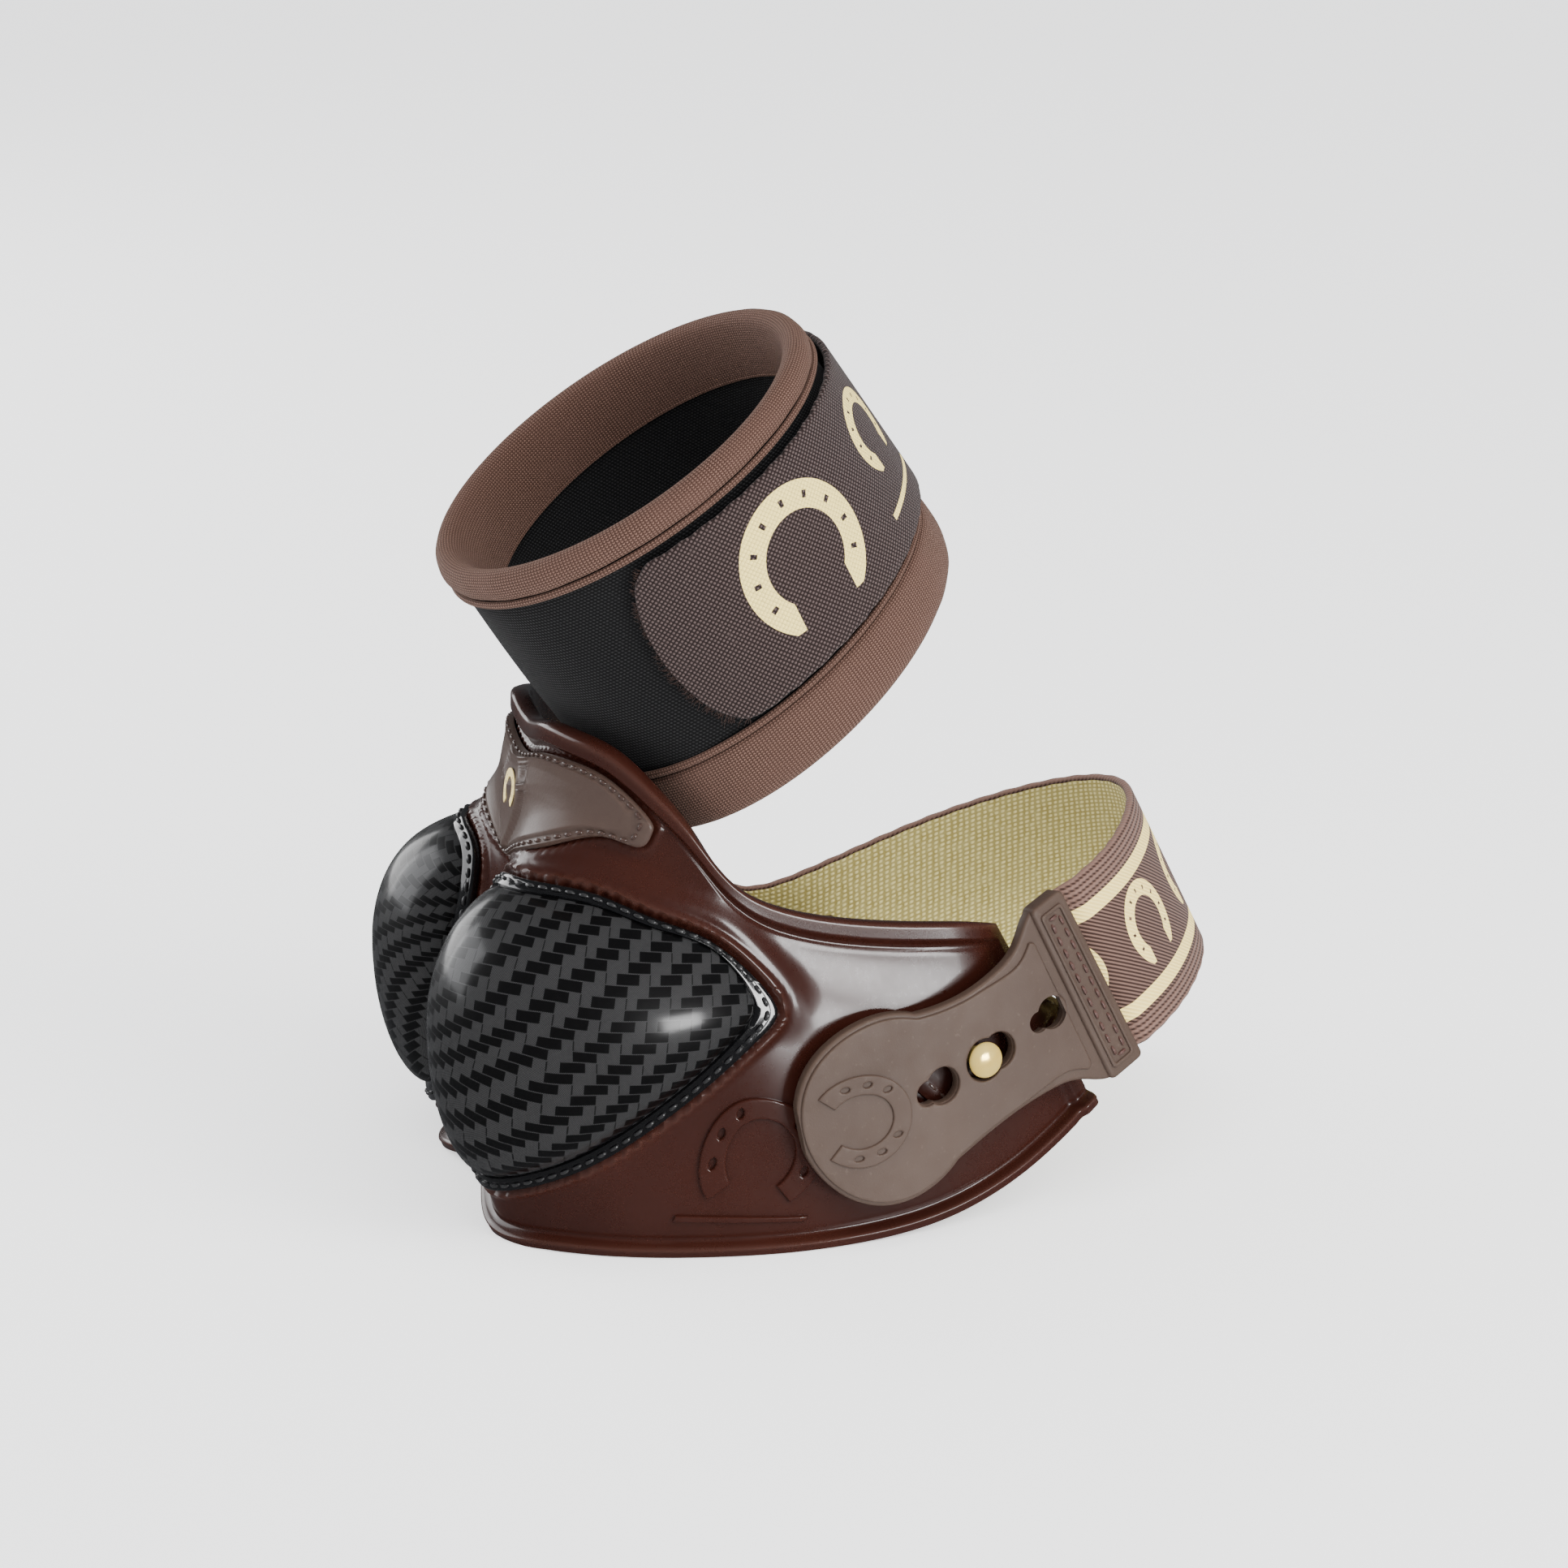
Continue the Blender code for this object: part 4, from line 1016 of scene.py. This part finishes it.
def build_stud():
    foot = on_loop([SEWN_END + STUD_AT], 0)[0]
    out = unit(on_loop([SEWN_END + STUD_AT], 0, 1)[0] - foot)
    along = unit(on_loop([SEWN_END + STUD_AT + 1], 0)[0] - foot)
    axes = (along, np.cross(out, along), out)
    face = TAB_THICK / 2 + GAP
    head = [(STUD_HEAD_R * math.sin(a), face + 0.35 + 1.65 * math.cos(a))
            for a in np.radians(np.linspace(0, 90, 14))]
    head += [(STUD_HEAD_R, face + 0.15), (STUD_HEAD_R - 0.15, face), (0.0, face)]
    place(lathe("brass_stud_head", head, foot, axes), "shell", "stud_head")
    near = shell_surface(*grid(np.linspace(7, 8.5, 61), np.linspace(2.5, 4.5, 61)))
    reach = np.linalg.norm(near - foot, axis=1).min()
    back = -reach - SHELL_THICK - LINING_THICK - 3 * GAP
    cap = [(r, back - deep) for r, deep in (
        (0, 0), (5.2, 0), (5.8, 0.25), (6.0, 0.55), (5.6, 0.95), (4.4, 1.12), (0, 1.2))]
    place(lathe("brass_stud_cap", cap, foot, axes), "shell", "stud_back_cap")


# ---- the elastic strap ----

def strap_piece(name, start, end):
    steps = round((end - start) / 1.1) + 1
    round_steps = 4
    wide_steps = 33
    rings = []
    flats = []
    for d in np.linspace(start, end, steps):
        sink = ease(d, 174.5, 181.5)           # the end thins and sinks into the tab's pocket
        half = ELASTIC_WIDTH / 2 - 0.15 * sink
        thick = ELASTIC_THICK * (1 - 0.45 * sink)
        across, out = strip_section(half, thick, wide_steps, round_steps).T
        across = across + 0.10 * math.sin(d * 0.9) * np.sign(across) * (np.abs(across) > 20)
        rings.append(on_loop(np.full(len(across), d), across, out - 2.3 * sink))
        flats.append(np.stack([np.full(len(across), d), across], axis=1))
    back = wide_steps + round_steps
    inside = [int(back <= k < back + wide_steps - 1) for k in range(len(across))]
    return piece(name, *swept(np.array(rings)), [ELASTIC_OUT, ELASTIC_IN], "elastic",
                 flat=np.concatenate(flats), faces_mat=inside * (steps - 1) + [0, 0], sharp=60)


def strap_point(distance):
    return tuple(metres(on_loop([distance], 0)[0]))


def build_elastic():
    spans = (
        ("elastic_sewn_span", 0, 71.5, "shell", "strap_rear", 13, 31, ("elastic_root", "elastic_rear")),
        ("elastic_rear_span", 71.5, 150, "strap_rear", "strap_front", 109, 133, ("elastic_front",)),
        ("elastic_tab_span", 150, 189.5, "strap_front", "buckle", 172, 180.5, ("elastic_tail",)),
    )
    for name, start, end, near, far, bend_from, bend_to, nodes in spans:
        span = strap_piece(name, start, end)
        strap_point(bend_from)
        strap_point(bend_to)
        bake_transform(span)
        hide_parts(*nodes)
    lift = ELASTIC_THICK / 2 + 0.45
    patch = slab("sewn_end_patch", [smooth_box(1, 17, 17, 1.6)], 0.9, 0.4,
                 lambda x, y, z: on_loop(x, y, z + lift), PATCH, "moulded_brown", 1.6)
    place(patch, "shell", "anchor_patch")
    box = corner_line(((3, -15), (15, -15), (15, 15), (3, 15)), 12)
    stitches("sewn_end_stitches", box, on_loop, lift + 0.45,
             THREAD_BROWN, "shell", "anchor_patch_thread", long=2.4, gap=0.8, radius=0.32)


def smooth_box(low, high, half, corner):
    """A rounded rectangle from `low` to `high` along, and `half` each way across."""
    points = []
    for cx, cy, start in ((high - corner, half - corner, 0), (low + corner, half - corner, 90),
                          (low + corner, corner - half, 180), (high - corner, corner - half, 270)):
        for a in np.radians(np.linspace(start, start + 90, 7)):
            points.append((cx + corner * math.cos(a), cy + corner * math.sin(a)))
    return np.array(points)


# ---- the rubber tab ----

TAB_SIDE = (
    (7.5, 24.0), (11.5, 22.4), (17, 18.4), (24, 16.5), (33, 16.1), (42, 17.2), (48.4, 18.65),
)


def tab_loop(shoulder, waist, radius):
    """A closed outline from one side of the tab; its end is round."""
    turn = np.radians(np.linspace(124, -124, 61))[1:-1]
    middle = TAB_LENGTH - TAB_END_R
    end = np.stack([middle + radius * np.cos(turn), radius * np.sin(turn)], axis=1)
    side = np.concatenate([shoulder, waist])
    return np.concatenate([side, end, side[::-1] * (1, -1)])


def through(points, count):
    """A smooth line of `count` points through control points."""
    points = np.array(points, float)
    return spline_weights(len(points), np.linspace(0, len(points) - 1, count)) @ points


def panel_outline():
    """The raised panel of the tab, set in from its waist and its round end."""
    waist = through(TAB_SIDE, 36)
    waist[:, 1] -= 1.0 + 2.2 * (1 - ease(waist[:, 0], 13, 32))
    waist = waist[waist[:, 0] > 13.0]
    start = waist[0, 1]
    return tab_loop([(12.0, start - 1.4), (12.3, start - 0.5)], waist, TAB_END_R - 1.0)


def keyhole(seat, wide, seat_radius, grow):
    big_radius = KEY_BIG_R + grow
    seat_radius = seat_radius + grow
    reach = seat - wide
    meet = (reach**2 + big_radius**2 - seat_radius**2) / (2 * reach)
    open_big = math.acos(meet / big_radius)
    open_seat = math.acos((reach - meet) / seat_radius)
    big = np.linspace(open_big, 2 * math.pi - open_big, 33)
    small = np.linspace(math.pi + open_seat, 3 * math.pi - open_seat, 25)[1:-1]
    return np.concatenate([
        np.stack([middle + radius * np.cos(turn), radius * np.sin(turn)], axis=1)
        for middle, radius, turn in ((wide, big_radius, big), (seat, seat_radius, small))
    ])


def keyholes(grow=0.0):
    seats = [STUD_AT + KEY_PITCH * hole for hole in (-1, 0, 1)]
    radii = (KEY_SMALL_R, STUD_SEAT_R, KEY_SMALL_R)
    return [keyhole(seat, seat - KEY_STEP, radius, grow) for seat, radius in zip(seats, radii)]


def on_tab(x, y, z):
    return on_loop(SEWN_END + x, y, z)


def build_tab():
    top = TAB_THICK / 2
    outline = tab_loop([(0, 22.4), (0.6, 23.4), (1.8, TAB_NECK)], through(TAB_SIDE, 36), TAB_END_R)
    frame_lines = [smooth_box(1.3, 8.1, 21.6, 1.0), smooth_box(2.2, 7.2, 20.7, 0.6)]
    parts = (
        ("rubber_tab", [outline] + keyholes(), TAB_THICK, 0.75, 0, ["buckle_tab"]),
        ("tab_panel", [panel_outline()] + keyholes(0.2), 1.3, 0.4, top, []),
        ("tab_pocket", [smooth_box(-0.6, 9.6, 24.0, 1.5)], 4.6, 0.8, 0.2, []),
        ("tab_stitch_frame", frame_lines, 0.9, 0.3, top + 0.95, []),
        ("tab_emblem", horseshoe(22, (68.5, 0), math.pi / 2), 1.3, 0.35, top + 0.55, []),
    )
    for name, outlines, thick, bevel, lift, nodes in parts:
        def where(x, y, z):
            return on_tab(x, y, z + lift)

        place(slab(name, outlines, thick, bevel, where, RUBBER, "rubber_brown"), "buckle", *nodes)
    box = corner_line(((3.3, -19.4), (6.1, -19.4), (6.1, 19.4), (3.3, 19.4)), 14)
    stitches("tab_stitches", box, on_tab, top + 0.95,
             THREAD_TAB, "buckle", "tab_thread", long=2.7, gap=0.8, radius=0.36)


# ---- the cuff ----

ALL_ROUND = np.arange(0, 360, 2.0)
STRAP_LOW, STRAP_HIGH = 0.245, 0.895
STRAP_MIDDLE = (STRAP_HIGH + STRAP_LOW) / 2
STRAP_HALF = (STRAP_HIGH - STRAP_LOW) / 2 * CUFF_TALL
STRAP_NOSE = 13.0                              # degrees over which the loose end narrows
STRAP_OUT = 3.1


def cuff_swept(name, angles, section, mats, slot, closed=True, warp=None):
    """A section of (share, out) points carried round the cuff."""
    section = np.asarray(section, float)
    rings = []
    flats = []
    steps = np.hypot(np.diff(section[:, 0]) * CUFF_TALL, np.diff(section[:, 1]))
    down = np.concatenate([[0], np.cumsum(steps)])
    for angle in angles:
        share, out = section.T
        if warp:
            out = out + warp(angle, share, out)
        rings.append(on_cuff(np.full(len(section), angle), share, out))
        flats.append(np.stack([np.full(len(section), angle * CUFF_MM), down], axis=1))
    return piece(name, *swept(np.array(rings), closed), mats, slot, flat=np.concatenate(flats),
                 sharp=60, wrap=360 * CUFF_MM if closed else None)


def rumple(angle, share, out):
    """Folds of the sleeve near its front, and a soft wave all round."""
    turn = math.radians(angle)
    front = hump(angle, 250, 38) + hump(angle, 325, 16)
    fold = np.sin(turn * 9 + share * 5) * np.sin(np.pi * np.clip(share * 1.1, 0, 1))
    soft = 0.25 * math.sin(turn * 5) * np.sin(np.pi * share)
    return (0.6 * front * fold + soft) * (share > 0.02)


def pucker(angle, share, out):
    turn = math.radians(angle)
    return np.where(out > 0.4, math.sin(turn * 23) * 0.07 + math.sin(turn * 7 + 1) * 0.12, 0)


def build_cuff():
    shares = np.linspace(0.015, 0.985, 50)
    outer = np.stack([shares, 0.55 * np.sin(np.pi * shares)], axis=1)
    back = shares[::-1]
    eased = 3.2 * ease(back, 0.90, 1.0)
    inner = np.stack([back, -CUFF_THICK + 0.2 * np.sin(np.pi * back) + eased], axis=1)
    sleeve = cuff_swept("neoprene_sleeve", ALL_ROUND, np.concatenate([outer, inner]), NEOPRENE,
                        "neoprene", warp=rumple)
    place(sleeve, "cuff", "cuff_sleeve")

    top_skin = through([
        (0.945, 0.75), (0.955, 1.45), (0.978, 1.8), (1.006, 1.5), (1.030, 0.4), (1.040, -1.1),
        (1.033, -2.7), (1.012, -4.0), (0.965, -5.0), (0.915, -5.5), (0.86, -5.75), (0.80, -5.65),
    ], 60)
    top_back = [(0.80, -5.35), (0.90, -5.2), (0.955, -4.3), (1.002, -2.6), (1.006, 0.0),
                (0.975, 0.35), (0.945, 0.35)]
    low_skin = through([
        (0.195, 0.75), (0.185, 1.5), (0.155, 2.0), (0.09, 2.15), (0.03, 1.95), (-0.015, 1.0),
        (-0.036, -1.2), (-0.036, -4.2), (-0.02, -6.0), (0.02, -6.6), (0.10, -6.6), (0.185, -6.2),
    ], 70)
    low_back = [(0.185, -5.35), (0.09, -5.35), (-0.008, -5.35), (-0.008, 0.35), (0.09, 0.35),
                (0.195, 0.35)]
    tapes = (("top_binding", [top_skin, top_back]), ("bottom_binding", [low_skin, low_back]))
    for name, lines in tapes:
        section = np.concatenate(lines)
        tape = cuff_swept(name, ALL_ROUND, section, KNIT, "knit_brown", warp=pucker)
        place(tape, "cuff", "cuff_" + name)
    turn = np.radians(np.arange(0, 360, 30))
    for name, share, out, radius, nodes in (
        ("top_piping", 0.930, 1.05, 0.85, ["cuff_top_piping"]),
        ("bottom_piping", 0.210, 1.05, 0.85, ["cuff_bottom_piping"]),
        ("inner_piping", 0.792, -5.45, 0.45, []),
    ):
        section = [share + radius * np.cos(turn) / CUFF_TALL, out + radius * np.sin(turn)]
        cord = cuff_swept(name, ALL_ROUND, np.stack(section, axis=1), KNIT, "knit_brown")
        place(cord, "cuff", *nodes)


def strap_half(angle):
    """Half the wrap strap's width at an angle: it narrows to its nose."""
    t = min(max((angle - FLAP_FROM) / STRAP_NOSE, 0), 1)
    return max(STRAP_HALF * (1 - (1 - t) ** 2) ** (1 / 2.2), 1.2)


def build_wrap_strap():
    nose = FLAP_FROM + STRAP_NOSE * (1 - np.cos(np.linspace(0, math.pi / 2, 16)))
    rest = np.arange(FLAP_FROM + STRAP_NOSE + 1.2, ROOT_TO, 1.5)
    angles = np.concatenate([nose, rest, [ROOT_TO]])
    rng = np.random.default_rng(5)
    steps = 31
    rings = []
    flats = []
    for angle in angles:
        wide = strap_half(angle)
        across, out = strip_section(wide, 1.7, steps).T
        ragged = rng.normal(0, 0.07) + 0.12 * math.sin(angle * 0.8)
        across = across + ragged * (np.abs(across) > wide - 1)
        lie = STRAP_OUT - 0.75 * (1 - ease(angle, FLAP_FROM, 0))
        lie += 0.18 * math.sin(math.radians(angle) * 4)
        turn = np.full(len(across), angle)
        rings.append(on_cuff(turn, STRAP_MIDDLE + across / CUFF_TALL, out + lie))
        flats.append(np.stack([turn * CUFF_MM, across], axis=1))
    spot = np.arange(len(across))
    outside = np.tile((spot < steps + 2) | (spot >= 2 * steps + 6), len(angles))
    strap = piece("wrap_strap", *swept(np.array(rings)), STRAP, "strap_brown",
                  flat=np.concatenate(flats), sharp=60, extra=[("outside", outside)])
    start, end = [tuple(metres(on_cuff(angle, STRAP_MIDDLE, STRAP_OUT)[0])) for angle in (112, 97)]
    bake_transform(strap)
    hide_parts("cuff_strap", "cuff_strap_root")

    hook = strip_section(STRAP_HALF - 0.05 * CUFF_TALL, 0.75, 25)
    section = hook / (CUFF_TALL, 1) + (STRAP_MIDDLE, 1.0)
    patch = cuff_swept("hook_patch", np.arange(FLAP_FROM + 17, FLAP_FROM + 62.1, 1.5), section,
                       hook_tape(), "strap_brown", closed=False)
    place(patch, "cuff_flap", "cuff_hook_patch")

    near, far = ROOT_TO - 3, ROOT_TO - 12
    box = corner_line(((near, 0.285), (near, 0.855), (far, 0.855), (far, 0.285)), 14)
    stitches("strap_root_stitches", box, on_cuff, 3.95,
             THREAD_BROWN, "cuff", "cuff_strap_thread", long=2.4, gap=0.8, radius=0.32)
    build_fray()


def build_fray():
    """Loose loops of thread along the wrap strap's cut end."""
    rng = np.random.default_rng(11)
    turn = np.radians((0, 120, 240))
    three = np.stack([np.cos(turn) * 0.4, np.cos(turn), np.sin(turn)], axis=1)
    threads = []
    for _ in range(260):
        across = rng.uniform(-1, 0.98)
        depth = 1 - math.sqrt(max(0, 1 - abs(across) ** 2.2))
        angle = FLAP_FROM + STRAP_NOSE * depth + 0.3
        share = STRAP_MIDDLE + across * STRAP_HALF / CUFF_TALL
        long = rng.uniform(0.5, 2.1) * (1.4 if across < 0.1 else 0.8)
        lean = rng.normal(0, 0.7)
        curl = rng.normal(0, 0.8)
        slope = across * 0.55
        rings = []
        for s in (0, 0.3, 0.6, 0.85, 1.0):
            side = long * s * (lean * 0.5 + slope) + curl * math.sin(s * 3) * 0.5
            out = 2.4 - 0.5 * s + 0.45 * math.sin(s * 3.1) * rng.uniform(0.2, 1)
            back = long * s / CUFF_MM * math.cos(slope)
            centre = on_cuff([angle - back], share + side / CUFF_TALL, out)[0]
            radius = 0.085 * (1 - 0.6 * s)
            rings.append(centre + radius * three)
        threads.append(np.array(rings))
    place(piece("strap_fray", *swept_all(threads), THREAD_BROWN, "strap_brown"), "cuff_flap")


# ---- camera, light and floor ----

CAMERA_AIM = np.array((0, 0, 92.6))
CAMERA_SIDE = np.array((0.90420, -0.27644, 0.32557))
CAMERA_FAR = 1020
LIGHT_AIM = Vector((0, 0, 0.09))


def turned(towards):
    """The turn that makes a camera or a lamp look back from `towards`."""
    return Vector(towards).to_track_quat("Z", "Y").to_euler()


def lamp(name, kind, power, towards, glossy, **settings):
    light = bpy.data.lights.new(name, kind)
    light.energy = power
    for key, value in settings.items():
        setattr(light, key, value)
    obj = add(name, light)
    obj.rotation_euler = turned(towards)
    obj.visible_glossy = glossy
    return obj


def build_sky():
    """A world that is bright to the camera, softer as a light, and faint in reflections."""
    world = bpy.data.worlds.new("studio")
    bpy.context.scene.world = world
    world.use_nodes = True
    nodes = world.node_tree.nodes
    link = world.node_tree.links.new
    nodes["Background"].inputs["Color"].default_value = (0.93, 0.95, 1.0, 1)
    path = nodes.new("ShaderNodeLightPath")
    both = nodes.new("ShaderNodeMath")
    both.operation = "MULTIPLY"
    rays = (("Is Camera Ray", 0.50, 2.3), ("Is Glossy Ray", 1.0, 0.22))
    for socket, (ray, other, this) in zip(both.inputs, rays):
        share = nodes.new("ShaderNodeMapRange")
        share.inputs["To Min"].default_value = other
        share.inputs["To Max"].default_value = this
        link(path.outputs[ray], share.inputs["Value"])
        link(share.outputs[0], socket)
    link(both.outputs[0], nodes["Background"].inputs["Strength"])


def build_studio():
    camera = bpy.data.cameras.new("camera")
    camera.lens = 100.0
    camera.sensor_width = 36.0
    camera.clip_start = 0.01
    eye = add("camera", camera)
    eye.location = metres(CAMERA_AIM + CAMERA_FAR * CAMERA_SIDE)
    eye.rotation_euler = turned(CAMERA_SIDE)
    bpy.context.scene.camera = eye

    build_sky()
    lamp("sky_light", "SUN", 3.2, (0.45, -0.1, 1.0), False, angle=1.2)
    for name, spot, wide, tall, power, colour, glossy in (
        ("key", (0.75, 0.60, 0.70), 0.50, 0.50, 9.0, (1.0, 0.98, 0.95), False),
        ("fill", (-0.45, -1.05, 0.50), 0.90, 0.80, 8.0, (0.97, 0.98, 1.0), True),
        ("front", (1.20, -0.45, 0.75), 0.35, 0.30, 1.6, (1, 1, 1), False),
        ("side", (1.15, 0.56, 0.14), 0.42, 0.30, 9.5, (1, 1, 1), True),
        ("rim", (-1.05, -0.70, 0.35), 0.80, 0.60, 6.0, (1, 1, 1), True),
    ):
        area = lamp(name, "AREA", power, Vector(spot) - LIGHT_AIM, glossy,
                    shape="RECTANGLE", size=wide, size_y=tall, color=colour)
        area.location = spot

    mesh = bpy.data.meshes.new("floor")
    shape = bmesh.new()
    bmesh.ops.create_grid(shape, x_segments=1, y_segments=1, size=4)
    shape.to_mesh(mesh)
    shape.free()
    floor = add("floor", mesh)
    paper = Paint("paper", 0.9, Base_Color=(0.93, 0.93, 0.93), Emission_Color=(1, 1, 1),
                  Emission_Strength=0.9)
    mesh.materials.append(paper.mat)
    floor.visible_glossy = False


def finish_cad_nodes():
    """The CAD nodes that stay get detailed materials."""
    kept = {"stud_post": BRASS, "dome_gel_core_left": GEL, "dome_gel_core_right": GEL}
    for name, mat in kept.items():
        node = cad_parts[name]
        node.data.materials.clear()
        node.data.materials.append(mat)


build_studio()
build_elastic()
build_cuff()
build_wrap_strap()
build_shell()
build_lining()
for side, sign in (("right", 1), ("left", -1)):
    build_dome(side, sign)
build_shield()
build_stud_patch()
build_stud()
build_tab()
finish_cad_nodes()
